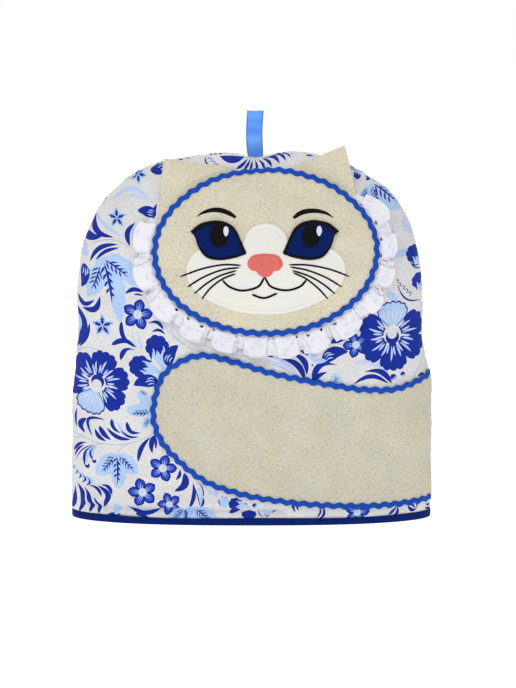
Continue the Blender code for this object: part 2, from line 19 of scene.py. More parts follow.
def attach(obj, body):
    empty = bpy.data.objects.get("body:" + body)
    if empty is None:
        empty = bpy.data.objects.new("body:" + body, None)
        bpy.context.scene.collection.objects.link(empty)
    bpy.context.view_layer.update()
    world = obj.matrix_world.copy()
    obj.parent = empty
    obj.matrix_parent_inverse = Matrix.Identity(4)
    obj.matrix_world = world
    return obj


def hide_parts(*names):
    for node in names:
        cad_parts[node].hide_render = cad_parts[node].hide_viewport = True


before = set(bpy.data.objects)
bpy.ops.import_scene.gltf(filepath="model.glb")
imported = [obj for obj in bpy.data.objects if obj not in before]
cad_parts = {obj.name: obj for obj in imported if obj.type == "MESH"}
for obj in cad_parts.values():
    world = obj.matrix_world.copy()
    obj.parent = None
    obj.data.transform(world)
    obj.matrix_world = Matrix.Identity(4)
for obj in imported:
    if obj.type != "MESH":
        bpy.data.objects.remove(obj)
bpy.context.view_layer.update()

# %% [markdown]
# ## The one surface that every piece follows
# A sewn cosy is flat cloth that the seams pull into a round form. So each point has two places: u and
# v on the flat cloth, and x, y and z on the sewn cosy. The print, the weave and the appliqués are all
# drawn on the flat cloth, and one function carries them onto the form. It repeats the panels' own
# formula: an arch seen from the front, and a flattened oval seen from above.

# %% The form of the sewn cosy
HEIGHT, SHOULDER, SQUARENESS = 0.354, 0.19, 2.9
HALF_WIDTH_SHOULDER = {-1: 0.169, 1: 0.1668}  # left and right of the middle
HALF_WIDTH_HEM = {-1: 0.1745, 1: 0.1748}
NARROWS_FROM = {-1: 0.08, 1: 0.125}
TOP_DIP, TOP_RISE = (0.0043, 0.016, -0.0035), (0.052, 0.035, 0.0022)
HALF_DEPTH_HEM, HALF_DEPTH = 0.058, {"front": 0.068, "back": 0.0745}
SWELLS_FROM, SWELLS_TO = 0.007, 0.11
FLATNESS = 2.6
RISE = HEIGHT - SHOULDER
GAP = 0.0003


def smooth(share):
    share = np.clip(share, 0, 1)
    return share * share * (3 - 2 * share)


def length_along(points):
    """How far along a line each of its points lies."""
    return np.concatenate([[0], np.cumsum(np.linalg.norm(np.diff(points, axis=0), axis=1))])


def pairs(first, second):
    """Points from their two coordinates."""
    return np.stack(np.broadcast_arrays(first, second), axis=-1)


def sideways(run):
    """The unit directions that lie to the left of these."""
    return pairs(-run[:, 1], run[:, 0]) / np.linalg.norm(run, axis=1, keepdims=True)


def oval_profile():
    """From the middle of the front to the side seam: shares of the cloth, the width and the depth."""
    angle = np.linspace(0, 0.56 * math.pi, 2000)
    out, deep = np.sin(angle) ** (2 / FLATNESS), np.cos(angle)
    slimness = HALF_DEPTH["front"] / HALF_WIDTH_SHOULDER[1]
    along = np.concatenate([[0], np.cumsum(np.hypot(np.diff(out), np.diff(deep) * slimness))])
    length = np.interp(math.pi / 2, angle, along)
    return along / length, out, deep, length


ALONG, OUT, DEEP, CUT = oval_profile()


def half_width(u, v):
    left = u < 0
    hem, shoulder, start = (
        np.where(left, table[-1], table[1])
        for table in (HALF_WIDTH_HEM, HALF_WIDTH_SHOULDER, NARROWS_FROM)
    )
    return hem + (shoulder - hem) * smooth((v - start) / (SHOULDER - start))


def seam_share(across, up):
    """0 in the middle of a panel, 1 on its seam."""
    return (np.abs(across) ** SQUARENESS + up**SQUARENESS) ** (1 / SQUARENESS)


def share_at(u, v):
    return seam_share(u / (half_width(u, v) * CUT), np.clip(v - SHOULDER, 0, None) / (RISE * CUT))


def cloth(side, u, v):
    """The panel's face without its folds."""
    half = half_width(u, v)
    across, up = u / (half * CUT), np.clip(v - SHOULDER, 0, None) / (RISE * CUT)
    share = seam_share(across, up)
    swell = np.interp(share, ALONG, OUT) / np.maximum(share, 1e-9)
    x, z = half * across * swell, np.minimum(v, SHOULDER) + RISE * up * swell
    swollen = smooth((z - SWELLS_FROM) / (SWELLS_TO - SWELLS_FROM))
    depth = HALF_DEPTH_HEM + (HALF_DEPTH[side] - HALF_DEPTH_HEM) * swollen
    y = depth * np.interp(share, ALONG, DEEP)
    near_top = smooth((share - 0.7) / 0.3) * smooth((z - 0.25) / 0.07)
    for place, half_length, height in (TOP_DIP, TOP_RISE):
        z = z + near_top * height * np.exp(-(((x - place) / half_length) ** 2))
    return np.stack([x, -y if side == "front" else y, z], axis=-1)


def outward(side, u, v, step=0.0001):
    across = cloth(side, u + step, v) - cloth(side, u - step, v)
    up = cloth(side, u, v + step) - cloth(side, u, v - step)
    normal = np.cross(across, up) * (1 if side == "front" else -1)
    return normal / np.linalg.norm(normal, axis=-1, keepdims=True)


def flat_at(x, z, up_to=1.0):
    """Where on the flat cloth the point lies that the front shows at x and z."""
    low = np.minimum(z, SHOULDER)
    half = half_width(x, low)
    across, up = x / half, np.clip(z - SHOULDER, 0, None) / RISE
    seen = np.clip(seam_share(across, up), 1e-9, up_to)
    spread = np.interp(seen, OUT[ALONG <= 1], ALONG[ALONG <= 1]) / seen
    return pairs(across * spread * half * CUT, low + up * spread * RISE * CUT)


# %% [markdown]
# ## Folds and puckers
# No padded cloth is as smooth as a formula. The big folds are listed one by one: the padding rolls over
# just above the hem, and the right side is dented. Between them the cloth waves a little, and where a
# seam takes it in it puckers across the seam. All of it is a height along the surface's normal, so
# whatever is sewn on top rises and falls with it.

# %% Folds
FOLDS = {  # from and to on the flat cloth, half width, height
    "front": [
        (-0.165, 0.015, 0.03, 0.014, 0.0027, -0.0034),
        (-0.17, 0.0215, -0.01, 0.0205, 0.005, 0.0024),
        (0.15, 0.175, 0.185, 0.215, 0.022, -0.0022),
        (-0.12, 0.205, -0.175, 0.24, 0.02, -0.0014),
    ],
    "back": [
        (-0.12, 0.015, 0.12, 0.0165, 0.004, -0.0018),
        (-0.13, 0.026, 0.13, 0.027, 0.011, 0.0014),
        (-0.15, 0.165, -0.06, 0.215, 0.024, -0.0026),
        (0.165, 0.13, 0.09, 0.19, 0.022, -0.002),
        (0.000, 0.37, 0.03, 0.3, 0.02, -0.002),
    ],
}
CREASES = {  # finer ones, as soft troughs and ridges
    "front": [
        (-0.02, 0.398, -0.034, 0.372, 0.003, -0.0007),
        (0.014, 0.398, 0.02, 0.366, 0.003, -0.0008),
        (0.032, 0.396, 0.048, 0.374, 0.0035, -0.0006),
        (-0.168, 0.04, -0.14, 0.012, 0.0035, -0.0009),
        (-0.06, 0.012, 0.02, 0.0105, 0.002, -0.0008),
        (-0.112, 0.0125, -0.098, 0.0265, 0.003, -0.0012),
        (-0.186, 0.15, -0.15, 0.158, 0.0045, -0.0006),
        (-0.184, 0.232, -0.15, 0.25, 0.005, -0.0007),
        (0.176, 0.196, 0.14, 0.186, 0.0045, -0.0008),
        (0.174, 0.232, 0.15, 0.236, 0.004, -0.0005),
    ],
    "back": [
        (0.000, 0.4, -0.012, 0.36, 0.0035, -0.0008),
        (0.02, 0.398, 0.04, 0.36, 0.004, -0.0007),
        (-0.186, 0.12, -0.13, 0.15, 0.006, -0.0009),
        (0.186, 0.09, 0.12, 0.13, 0.006, -0.001),
        (0.176, 0.22, 0.12, 0.25, 0.006, -0.0008),
        (-0.08, 0.01, 0.01, 0.0115, 0.0022, -0.0008),
    ],
}
SEAM_GROOVE, SEAM_GROOVE_WIDTH = 0.0022, 0.0045
PUCKER, PUCKER_REACH, PUCKER_LENGTH = 0.00042, 0.0085, 0.0125  # height, reach from the seam, wavelength
WAVES = [(21.0, 8.0, 0.3), (-9.0, 17.0, 1.7), (31.0, -22.0, 4.1), (13.0, 37.0, 2.6)]  # per metre
WAVE_HEIGHT = 0.00032


def troughs(table, u, v):
    raised = np.zeros(np.broadcast(u, v).shape)
    for from_u, from_v, to_u, to_v, half, height in table:
        run_u, run_v = to_u - from_u, to_v - from_v
        share = ((u - from_u) * run_u + (v - from_v) * run_v) / (run_u**2 + run_v**2)
        share = np.clip(share, 0, 1)
        away = np.hypot(u - from_u - share * run_u, v - from_v - share * run_v)
        raised = raised + height * np.exp(-((away / half) ** 2))
    return raised


def raised(side, u, v):
    """The height of all folds above the plain form."""
    to_seam = (1 - share_at(u, v)) * CUT * HALF_WIDTH_SHOULDER[1]
    round_seam = np.where(
        v < SHOULDER, v, SHOULDER + 0.2 * np.arctan2(v - SHOULDER, np.maximum(np.abs(u), 1e-6))
    )
    turns = round_seam / PUCKER_LENGTH + 0.35 * np.sin(round_seam * 61) + (0.5 if side == "back" else 0)
    pucker = PUCKER * np.sin(2 * math.pi * turns) * np.exp(-to_seam / PUCKER_REACH)
    waves = sum(np.sin(2 * math.pi * (u * a + v * b) / 2 + c) for a, b, c in WAVES) * WAVE_HEIGHT
    height = troughs(FOLDS[side], u, v) + troughs(CREASES[side], u, v) + waves + pucker
    return height * smooth(v / 0.012)


def on_cloth(flat, lift, side="front"):
    """Points that lie lift above the folded face."""
    u, v = flat[..., 0], flat[..., 1]
    height = np.asarray(lift + raised(side, u, v))[..., None]
    return cloth(side, u, v) + outward(side, u, v) * height


# %% [markdown]
# ## Colours and cloth finishes
# Colours are read as screen values and turned into the linear values that Blender shades with. The
# weave, the slubs of linen and the ribs of thread are each a node group. A group takes a scale and
# gives back a tint and a height, and each material feeds these to its own shader. The patterns read
# a UV map that holds the flat cloth's own metres, so they bend with the cloth.


# %% Colours
def tone(red, green, blue):
    linear = [
        (c / 12.92 if c <= 0.04045 else ((c + 0.055) / 1.055) ** 2.4)
        for c in (red / 255, green / 255, blue / 255)
    ]
    return (*linear, 1.0)


GROUND = tone(208, 208, 208)
COBALT = tone(22, 44, 144)
VIOLET = tone(52, 78, 186)
LIGHT = tone(166, 193, 228)
HAZE = tone(182, 196, 226)
STEM = tone(160, 172, 200)
INKS = {"bare": GROUND, "cobalt": COBALT, "violet": VIOLET, "light": LIGHT, "haze": HAZE, "stem": STEM}
INK_NAMES = list(INKS)


# %% A small kit for node groups
def new_group(name, inputs, outputs):
    group = bpy.data.node_groups.new(name, "ShaderNodeTree")
    for label, kind, value in inputs:
        socket = group.interface.new_socket(label, in_out="INPUT", socket_type=f"NodeSocket{kind}")
        socket.default_value = value
    for label, kind in outputs:
        group.interface.new_socket(label, in_out="OUTPUT", socket_type=f"NodeSocket{kind}")
    return group, group.nodes.new("NodeGroupInput"), group.nodes.new("NodeGroupOutput")


def feed(tree, socket, value):
    """Links another node's output to the socket, or sets the socket's own value."""
    if isinstance(value, bpy.types.NodeSocket):
        tree.links.new(value, socket)
    else:
        socket.default_value = value


def add_node(tree, kind, **values):
    """A node and what its inputs take, by their names."""
    node = tree.nodes.new(kind)
    for name, value in values.items():
        feed(tree, node.inputs[name], value)
    return node


def math_node(tree, operation, *values):
    node = tree.nodes.new("ShaderNodeMath")
    node.operation = operation
    for socket, value in zip(node.inputs, values):
        feed(tree, socket, value)
    return node.outputs[0]


def stretched(tree, vector, x, y):
    """A vector scaled differently along and across the cloth."""
    node = tree.nodes.new("ShaderNodeVectorMath")
    node.operation = "MULTIPLY"
    tree.links.new(vector, node.inputs[0])
    node.inputs[1].default_value = (x, y, 1)
    return node.outputs[0]


def noise(tree, vector, scale=1.0, detail=2.0, roughness=0.5):
    settings = {"Vector": vector, "Scale": scale, "Detail": detail, "Roughness": roughness}
    return add_node(tree, "ShaderNodeTexNoise", **settings).outputs["Fac"]


def ranged(tree, value, from_low, from_high, to_low=0.0, to_high=1.0):
    node = add_node(tree, "ShaderNodeMapRange", Value=value)
    for socket, number in zip(node.inputs[1:5], (from_low, from_high, to_low, to_high)):
        socket.default_value = number
    return node.outputs["Result"]


def use_group(tree, group, **values):
    node = tree.nodes.new("ShaderNodeGroup")
    node.node_tree = group
    for name, value in values.items():
        feed(tree, node.inputs[name], value)
    return node.outputs


def mixed(tree, factor, first, second, blend="MIX"):
    node = tree.nodes.new("ShaderNodeMix")
    node.data_type = "RGBA"
    node.blend_type = blend
    for index, value in ((0, factor), (6, first), (7, second)):  # the sockets of its colour mode
        feed(tree, node.inputs[index], value)
    return node.outputs[2]


def multiplied(tree, first, second):
    return mixed(tree, 1.0, first, second, "MULTIPLY")


def grey(tree, value):
    node = tree.nodes.new("ShaderNodeCombineColor")
    for socket in node.inputs:
        tree.links.new(value, socket)
    return node.outputs[0]


# %% Plain weave with slubs
def plain_weave_group():
    """Threads over and under each other. Uneven linen yarn thickens and thins along its length."""
    tree, entry, leave = new_group(
        "plain weave",
        [("Vector", "Vector", (0, 0, 0)), ("Threads", "Float", 1800.0), ("Slubs", "Float", 1.0)],
        [("Height", "Float"), ("Shade", "Float"), ("Fleck", "Float")],
    )
    vector, threads = entry.outputs["Vector"], entry.outputs["Threads"]
    split = add_node(tree, "ShaderNodeSeparateXYZ", Vector=vector)
    turns = [math_node(tree, "MULTIPLY", split.outputs[way], threads) for way in ("X", "Y")]
    waves = [math_node(tree, "SINE", math_node(tree, "MULTIPLY", turn, math.pi)) for turn in turns]
    crossing = math_node(tree, "MULTIPLY", *waves)
    along_weft = noise(tree, stretched(tree, vector, 260, 1000), 1, 2)
    along_warp = noise(tree, stretched(tree, vector, 1000, 320), 1, 2)
    yarn = math_node(tree, "ADD", along_weft, along_warp)
    patches = noise(tree, vector, 34, 3)
    height = math_node(tree, "ADD", math_node(tree, "MULTIPLY", crossing, 0.5), yarn)
    tree.links.new(height, leave.inputs["Height"])
    thick = math_node(tree, "SUBTRACT", yarn, 1.0)
    cloudy = math_node(tree, "MULTIPLY", math_node(tree, "SUBTRACT", patches, 0.5), 0.45)
    shade = math_node(tree, "MULTIPLY", math_node(tree, "ADD", thick, cloudy), entry.outputs["Slubs"])
    tree.links.new(shade, leave.inputs["Shade"])
    specks = noise(tree, stretched(tree, vector, 420, 900), 1, 2, 0.6)
    tree.links.new(ranged(tree, specks, 0.63, 0.7), leave.inputs["Fleck"])
    return tree


PLAIN_WEAVE = plain_weave_group()


# %% Thread ribs for braid, ribbon and embroidery
def thread_group():
    """Threads laid side by side along one direction, slightly uneven."""
    tree, entry, leave = new_group(
        "laid threads",
        [("Vector", "Vector", (0, 0, 0)), ("Along", "Float", 2500.0), ("Across", "Float", 0.0)],
        [("Height", "Float"), ("Shade", "Float")],
    )
    split = add_node(tree, "ShaderNodeSeparateXYZ", Vector=entry.outputs["Vector"])
    along = math_node(tree, "MULTIPLY", split.outputs["X"], entry.outputs["Along"])
    across = math_node(tree, "MULTIPLY", split.outputs["Y"], entry.outputs["Across"])
    wobble = math_node(tree, "MULTIPLY", noise(tree, entry.outputs["Vector"], 900, 1), 1.5)
    phase = math_node(tree, "ADD", math_node(tree, "ADD", along, across), wobble)
    rib = math_node(tree, "SINE", math_node(tree, "MULTIPLY", phase, 2 * math.pi))
    tree.links.new(math_node(tree, "MULTIPLY_ADD", rib, 0.5, 0.5), leave.inputs["Height"])
    tree.links.new(noise(tree, entry.outputs["Vector"], 350, 2), leave.inputs["Shade"])
    return tree


LAID_THREADS = thread_group()


# %% The start of every material
def new_material(name, roughness, sheen=0.0, gloss=0.07):
    """A material with its shader and the flat cloth's coordinates."""
    material = bpy.data.materials.new(name)
    material.use_nodes = True
    tree = material.node_tree
    shader = tree.nodes["Principled BSDF"]
    shader.inputs["Roughness"].default_value = roughness
    shader.inputs["Specular IOR Level"].default_value = gloss
    shader.inputs["Sheen Weight"].default_value = sheen
    shader.inputs["Sheen Roughness"].default_value = 0.5
    place = tree.nodes.new("ShaderNodeUVMap")
    place.uv_map = "flat"
    return material, tree, shader.inputs, place.outputs["UV"]


def relief(tree, shader, height, strength, metres):
    """Raises the surface where the height is bright."""
    bump = add_node(tree, "ShaderNodeBump", Height=height, Strength=strength, Distance=metres)
    tree.links.new(bump.outputs["Normal"], shader["Normal"])


# %% [markdown]
# ## Cutting cloth into triangles
# A printed flower has crisp edges. A picture would give them, but a picture isn't needed. The corners
# of every printed outline become points of the cloth, and a Delaunay triangulation joins the points
# that lie nearest each other. Each triangle then takes the ink that covers its middle, the last one
# painted. The edges are as fine as the outlines' corners lie close. The same cut makes a plain piece
# of any outline, and the eyelets' holes in the lace.


# %% Cutting helpers
def grid_inside(low, high, spacing):
    """Points in staggered rows, which give even triangles."""
    rows = np.arange(low[1], high[1], spacing * 0.866)
    columns = np.arange(low[0], high[0], spacing)
    u = columns[None, :] + (np.arange(len(rows)) % 2)[:, None] * spacing / 2
    return pairs(u, rows[:, None]).reshape(-1, 2)


def winding(polygon, points):
    """How often the outline runs round each point: 0 outside it."""
    x, y = points.T
    turns = np.zeros(len(points), int)
    for (x0, y0), (x1, y1) in zip(polygon, np.roll(polygon, -1, axis=0)):
        crosses = (y0 > y) != (y1 > y)
        if crosses.any():
            left_of = crosses & (x < x0 + (y - y0) * (x1 - x0) / (y1 - y0))
            turns += np.where(left_of, np.sign(y1 - y0), 0).astype(int)
    return turns


def inks_at(middles, shapes):
    """The ink that covers each point, the last painted shape first."""
    ink_of = np.zeros(len(middles), int)
    order = np.argsort(middles[:, 1])
    heights = middles[order, 1]
    for ink, polygon in shapes:
        low, high = polygon.min(0), polygon.max(0)
        near = order[np.searchsorted(heights, low[1]) : np.searchsorted(heights, high[1])]
        near = near[(middles[near, 0] > low[0]) & (middles[near, 0] < high[0])]
        ink_of[near[winding(polygon, middles[near]) != 0]] = INK_NAMES.index(ink)
    return ink_of


def counterclockwise(loop):
    u, v = loop.T
    return loop if np.sum(u * np.roll(v, -1) - np.roll(u, -1) * v) > 0 else loop[::-1]


POINTS_APART, POINTS_SAME = 0.00016, 2e-6


def cut_flat(outline, shapes=(), holes=(), spacing=0.004):
    """The flat points and triangles inside an outline, and the ink of each triangle."""
    loops = [counterclockwise(loop) for loop in (outline, *holes)]
    starts = np.cumsum([0] + [len(loop) for loop in loops])
    faces = [list(range(a, b)) for a, b in zip(starts, starts[1:])]
    loose = np.concatenate([grid_inside(outline.min(0), outline.max(0), spacing)]
                           + [polygon for _, polygon in shapes])
    loose = loose[np.unique(np.round(loose / POINTS_APART), axis=0, return_index=True)[1]]
    loose = loose[winding(outline, loose) != 0]
    corners = [Vector(point) for point in np.concatenate([*loops, loose]).tolist()]
    found = delaunay_2d_cdt(corners, [], faces, 0, POINTS_SAME, True)
    kept = [ids for ids, covers in zip(found[2], found[5]) if 0 in covers and max(covers) == 0]
    flat = np.array([tuple(point) for point in found[0]])
    used, renumbered = np.unique(np.array(kept), return_inverse=True)
    flat, triangles = flat[used], renumbered.reshape(-1, 3)
    return flat, triangles, inks_at(flat[triangles].mean(axis=1), shapes)


def rim_edges(triangles):
    """The directed edges that only one triangle has."""
    edges = np.concatenate([triangles[:, [0, 1]], triangles[:, [1, 2]], triangles[:, [2, 0]]])
    there = {tuple(edge) for edge in edges.tolist()}
    return [edge for edge in map(tuple, edges.tolist()) if edge[::-1] not in there]


def loops_of(edges):
    """Edges chained end to end into closed loops."""
    after, loops = dict(edges), []
    while after:
        start, end = after.popitem()
        loop = [start]
        while end != start:
            loop.append(end)
            end = after.pop(end)
        loops.append(loop)
    return loops


def build(name, points, faces, materials, slots=None, flat=None, inks=None):
    """A mesh object from points and faces, with the flat cloth's metres as its UV map."""
    mesh = bpy.data.meshes.new(name)
    mesh.from_pydata(np.asarray(points).tolist(), [], [list(face) for face in faces])
    for material in materials:
        mesh.materials.append(material)
    if slots is not None:
        mesh.polygons.foreach_set("material_index", np.asarray(slots, np.int32))
    corner = np.zeros(len(mesh.loops), np.int32)
    mesh.loops.foreach_get("vertex_index", corner)
    if flat is not None:
        layer = mesh.uv_layers.new(name="flat")
        layer.uv.foreach_set("vector", np.asarray(flat, np.float32)[corner].ravel())
    if inks is not None:
        colours = np.array([INKS[name] for name in INK_NAMES], np.float32)
        layer = mesh.color_attributes.new("ink", "FLOAT_COLOR", "CORNER")
        sizes = np.array([len(face) for face in faces])
        layer.data.foreach_set("color", np.repeat(colours[inks], sizes, axis=0).ravel())
    mesh.shade_smooth()
    mesh.update()
    piece = bpy.data.objects.new(name, mesh)
    bpy.context.scene.collection.objects.link(piece)
    print(f"{name}: {sum(len(face) - 2 for face in faces)} triangles")
    return piece


def finish(piece, slot, *nodes):
    """What every piece gets: its body, and the solids it stands for, which it hides. The slot is not used.
    """
    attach(piece, "root")
    if nodes:
        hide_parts(*nodes)
    return piece


# %% [markdown]
# ## The print
# The cloth carries a hand-painted look that folk potters and printers share: cobalt flowers with
# scalloped petals, stars, buds, three-lobed leaves in light blue, and rows of comma strokes. A brush
# stroke is a line that swells and tapers, so nearly every motif is built from one helper that gives
# a line its width. Later shapes lie over earlier ones, as paint does.


# %% Strokes and rounds
def swept(line, half_widths):
    """The outline of a line with a width."""
    line = np.asarray(line, float)
    width = sideways(np.gradient(line, axis=0)) * (np.zeros(len(line)) + half_widths)[:, None]
    return np.concatenate([line + width, (line - width)[::-1]])


def comma(length, width, bend, belly=0.6, steps=9):
    """A brush stroke from the origin along +X: bend bows it, belly says where it is thickest."""
    t = np.linspace(0, 1, steps)
    power = math.log(0.5) / math.log(belly)
    line = pairs(t * length, bend * length * np.sin(math.pi * t))
    return swept(line, 0.56 * width * np.sin(math.pi * t**power) ** 0.75 + 1e-5)


def disc(x, y, radius, steps=12):
    angle = np.linspace(0, 2 * math.pi, steps, endpoint=False)
    return pairs(x + radius * np.cos(angle), y + radius * np.sin(angle))


def turned(shapes, degrees, at=(0, 0), size=1.0):
    """Shapes scaled, then turned about the origin, then moved."""
    c, s = math.cos(math.radians(degrees)), math.sin(math.radians(degrees))
    rotation = np.array([[c, s], [-s, c]]) * size
    return [(ink, polygon @ rotation + np.asarray(at)) for ink, polygon in shapes]


def curve_through(points, steps=10):
    """A smooth curve through the points, after Catmull and Rom."""
    points = np.asarray(points, float)
    padded = np.concatenate([[2 * points[0] - points[1]], points, [2 * points[-1] - points[-2]]])
    t = np.linspace(0, 1, steps, endpoint=False)[:, None]
    pieces = [
        0.5 * (2 * b + (c - a) * t + (2 * a - 5 * b + 4 * c - d) * t**2 + (3 * b - a - 3 * c + d) * t**3)
        for a, b, c, d in zip(padded, padded[1:], padded[2:], padded[3:])
    ]
    return np.concatenate([*pieces, points[-1:]])


# %% Flowers
def scalloped_petal(half_angle, scallops, depth, reach=1.0):
    """A petal along +X: a wedge with a scalloped outer edge."""
    t = np.linspace(-1, 1, scallops * 6 + 1)
    bumps = np.abs(np.sin(math.pi * scallops * (t + 1) / 2)) ** 0.7
    radius = reach * (1 - 0.27 * np.abs(t) ** 4) - depth * (1 - bumps)
    angle = np.radians(half_angle) * t
    return np.concatenate([[[0.12, 0.0]], pairs(radius * np.cos(angle), radius * np.sin(angle))])


def flower():
    """The big flower: one light petal outlined in cobalt and five cobalt ones, streaked from a ring."""
    shapes = []
    for degrees, half, scallops in ((66, 30, 4), (121, 29, 4), (180, 32, 5), (239, 29, 4), (294, 30, 4)):
        shapes += turned([("cobalt", scalloped_petal(half, scallops, 0.055))], degrees)
    light = scalloped_petal(38, 7, 0.05, 0.99)
    shapes += [("cobalt", light), ("light", (light - [0.5, 0]) * [0.9, 0.92] + [0.5, 0])]
    for degrees in range(-24, 25, 12):
        shapes += turned([("bare", comma(0.42, 0.03, 0.03) + [0.34, 0])], degrees)
    for index, degrees in enumerate(range(44, 320, 13)):
        tip = (0.66, 0.54, 0.74, 0.58)[index % 4]
        stroke = comma(tip - 0.3, 0.052, 0.05 * (-1) ** index, belly=0.5) + [0.3, 0]
        shapes += turned([("haze" if index % 3 else "light", stroke)], degrees)
    shapes.append(("bare", disc(0.02, 0, 0.27, 18)))
    shapes.append(("cobalt", disc(-0.05, 0, 0.205, 18)))
    shapes.append(("bare", disc(0.05, 0, 0.15, 14)))
    return shapes


def floret():
    """The small flower: five pointed petals round a pale eye."""
    shapes = []
    for degrees in range(0, 360, 72):
        leaf = [("cobalt", comma(0.88, 0.64, 0, belly=0.52, steps=13) + [0.12, 0])]
        leaf.append(("violet", comma(0.56, 0.38, 0, belly=0.56) + [0.28, 0]))
        for spread, length in ((-16, 0.3), (0, 0.42), (16, 0.3)):
            leaf += turned([("light", comma(length, 0.034, 0, belly=0.4) + [0.26, 0])], spread)
        shapes += turned(leaf, degrees)
    return shapes + [("light", disc(0, 0, 0.3)), ("bare", disc(0, 0, 0.22)), ("haze", disc(0, 0, 0.12))]


def star():
    """A star blossom: a light haze under five barbed cobalt rays, with pale dots in the middle."""
    corners = [(r, math.radians(a)) for i in range(5) for r, a in ((1.15, 72 * i), (0.62, 36 + 72 * i))]
    shapes = [("light", np.array([(r * math.cos(a), r * math.sin(a)) for r, a in corners]))]
    for degrees in range(0, 360, 72):
        ray = [("cobalt", comma(0.9, 0.19, 0, belly=0.35) + [0.05, 0])]
        for side in (-1, 1):
            for start in (0.2, 0.42):
                ray += turned([("cobalt", comma(0.3, 0.1, 0))], side * 36, (start, 0))
        shapes += turned(ray, degrees)
    for degrees in range(36, 396, 72):
        shapes += turned([("bare", disc(0.15, 0, 0.055, 6))], degrees)
    return shapes + [("bare", disc(0, 0, 0.05, 6))]


# %% Leaves and buds
def lobe(width=0.5):
    """One light lobe of a leaf, with a slightly wavy edge."""
    t = np.linspace(0, 1, 20)
    half = width / 2 * np.sin(math.pi * t**0.9) ** 0.62 * (1 + 0.07 * np.sin(5.5 * math.pi * t))
    return [("light", swept(pairs(t, 0.03 * np.sin(math.pi * t)), half + 1e-4))]


def twig(width=0.45):
    """Cobalt veins like a twig of fir, with four pairs of barbs."""
    shapes = [("cobalt", comma(1.0, 0.058, 0.03, 0.45))]
    for index in range(4):
        share = 0.14 + 0.7 * index / 4
        for side in (-1, 1):
            barb = comma(width * (0.74 - 0.36 * share), 0.054, 0.05 * side, belly=0.45, steps=6)
            shapes += turned([("cobalt", barb)], side * 40, (share + 0.05 * side, 0))
    return shapes


def leaf():
    """A leaf of three lobes that fan out from its stalk."""
    shapes = []
    for degrees, length in ((-52, 0.85), (52, 0.85), (0, 1.0)):
        shapes += turned(lobe(0.52), degrees, size=length)
    for degrees, length in ((-52, 0.62), (52, 0.62), (0, 0.78)):
        shapes += turned([(ink, line + [0.12, 0]) for ink, line in twig(0.36)], degrees, size=length)
    return shapes


def bud():
    """A tulip bud along +X: a light cup, a scalloped cobalt cap, teeth and streaks between them."""
    cup = np.array([(0, 0), (0.3, -0.14), (0.62, -0.27), (0.66, 0), (0.62, 0.27), (0.3, 0.14)])
    angle = np.radians(np.linspace(-112, 112, 31))
    bumps = np.abs(np.sin(2.5 * math.pi * (angle / angle[-1] + 1))) ** 0.7
    radius = 0.35 - 0.04 * (1 - bumps)
    cap = pairs(0.68 + radius * np.cos(angle), radius * 0.95 * np.sin(angle))
    teeth = [(0.34, 0.25), (0.58, 0.16), (0.46, 0.1), (0.6, 0.03)]
    teeth += [(0.45, -0.04), (0.58, -0.12), (0.36, -0.24)]
    shapes = [("light", cup), ("cobalt", np.concatenate([cap, teeth]))]
    for side in (-0.17, 0.12):
        shapes.append(("light", comma(0.26, 0.04, 0) + [0.42, side]))
    return shapes


def petal(width=0.46, bend=0.14):
    """A cobalt leaf with a few light streaks along it."""
    shapes = [("cobalt", comma(1, width, bend, 0.42, 14))]
    for shift, length in ((-0.22, 0.3), (0.02, 0.38), (0.26, 0.3)):
        shapes.append(("light", comma(length, 0.045, bend) + [0.14, 0.6 * bend + shift * width]))
    return shapes


def cap():
    """Half of a scalloped flower."""
    return [("cobalt", scalloped_petal(66, 4, 0.06))]


def dot():
    return [("cobalt", disc(0, 0, 1, 8))]


# %% Rows, fans and curls of strokes
def fan(angles, lengths):
    """Strokes that spread from one point, thick at their outer ends."""
    shapes = []
    for degrees, length in zip(angles, lengths):
        bend = 0.12 if degrees < sum(angles) / len(angles) else -0.12
        stroke = comma(length * 0.86, 0.17, bend, belly=0.68) + [length * 0.14, 0]
        shapes += turned([("cobalt", stroke)], degrees)
    return shapes


def frond(count, sides, lean):
    """Strokes along one or both sides of a thin stalk along +X, shorter towards its end."""
    t = np.linspace(0, 1, 12)
    shapes = [("stem", swept(pairs(t, 0.07 * np.sin(math.pi * t)), 0.01))]
    for index in range(count):
        share = 0.06 + 0.84 * index / count
        for side in sides:
            stroke = comma(0.46 * (1.1 - 0.6 * share), 0.08, -side * 0.22, belly=0.6)
            at = (share, 0.07 * math.sin(math.pi * share) + side * 0.02)
            shapes += turned([("cobalt", stroke)], side * (lean + 10 * share), at)
    return shapes


def crescents():
    """Two bowed strokes, one inside the other."""
    return [
        ("cobalt", comma(1 - 0.22 * i, 0.2 - 0.05 * i, 0.22, belly=0.5) + [0.11 * i, -0.24 * i])
        for i in range(2)
    ]


def hooks():
    """Four little hooks in a row along +X."""
    angle = np.radians(np.linspace(-60, 190, 9))
    hook = 0.085 * pairs(np.cos(angle), np.sin(angle))
    return [("cobalt", swept(hook + [0.12 + 0.76 * i / 3, 0.05], 0.022)) for i in range(4)]


def beads():
    """A row of five light drops, each with a cobalt bow under it, which grow along the row."""
    shapes = []
    for index in range(5):
        size = 0.07 + 0.022 * index
        at = (index / 5 + 0.08, -0.1 * math.sin(math.pi * index / 5))
        bow = comma(2.4 * size, 0.5 * size, 0.35) - [size, 1.1 * size]
        shapes += turned([("light", disc(0, 0, size, 8)), ("cobalt", bow)], -60, at)
    return shapes


def berry():
    """A pale berry with a ring of dark dots."""
    ring = [(0.55 * math.cos(a), 0.55 * math.sin(a)) for a in np.arange(5) * 1.2566]
    return [("haze", disc(0, 0, 1, 12)), *(("cobalt", disc(x, y, 0.1, 6)) for x, y in ring)]


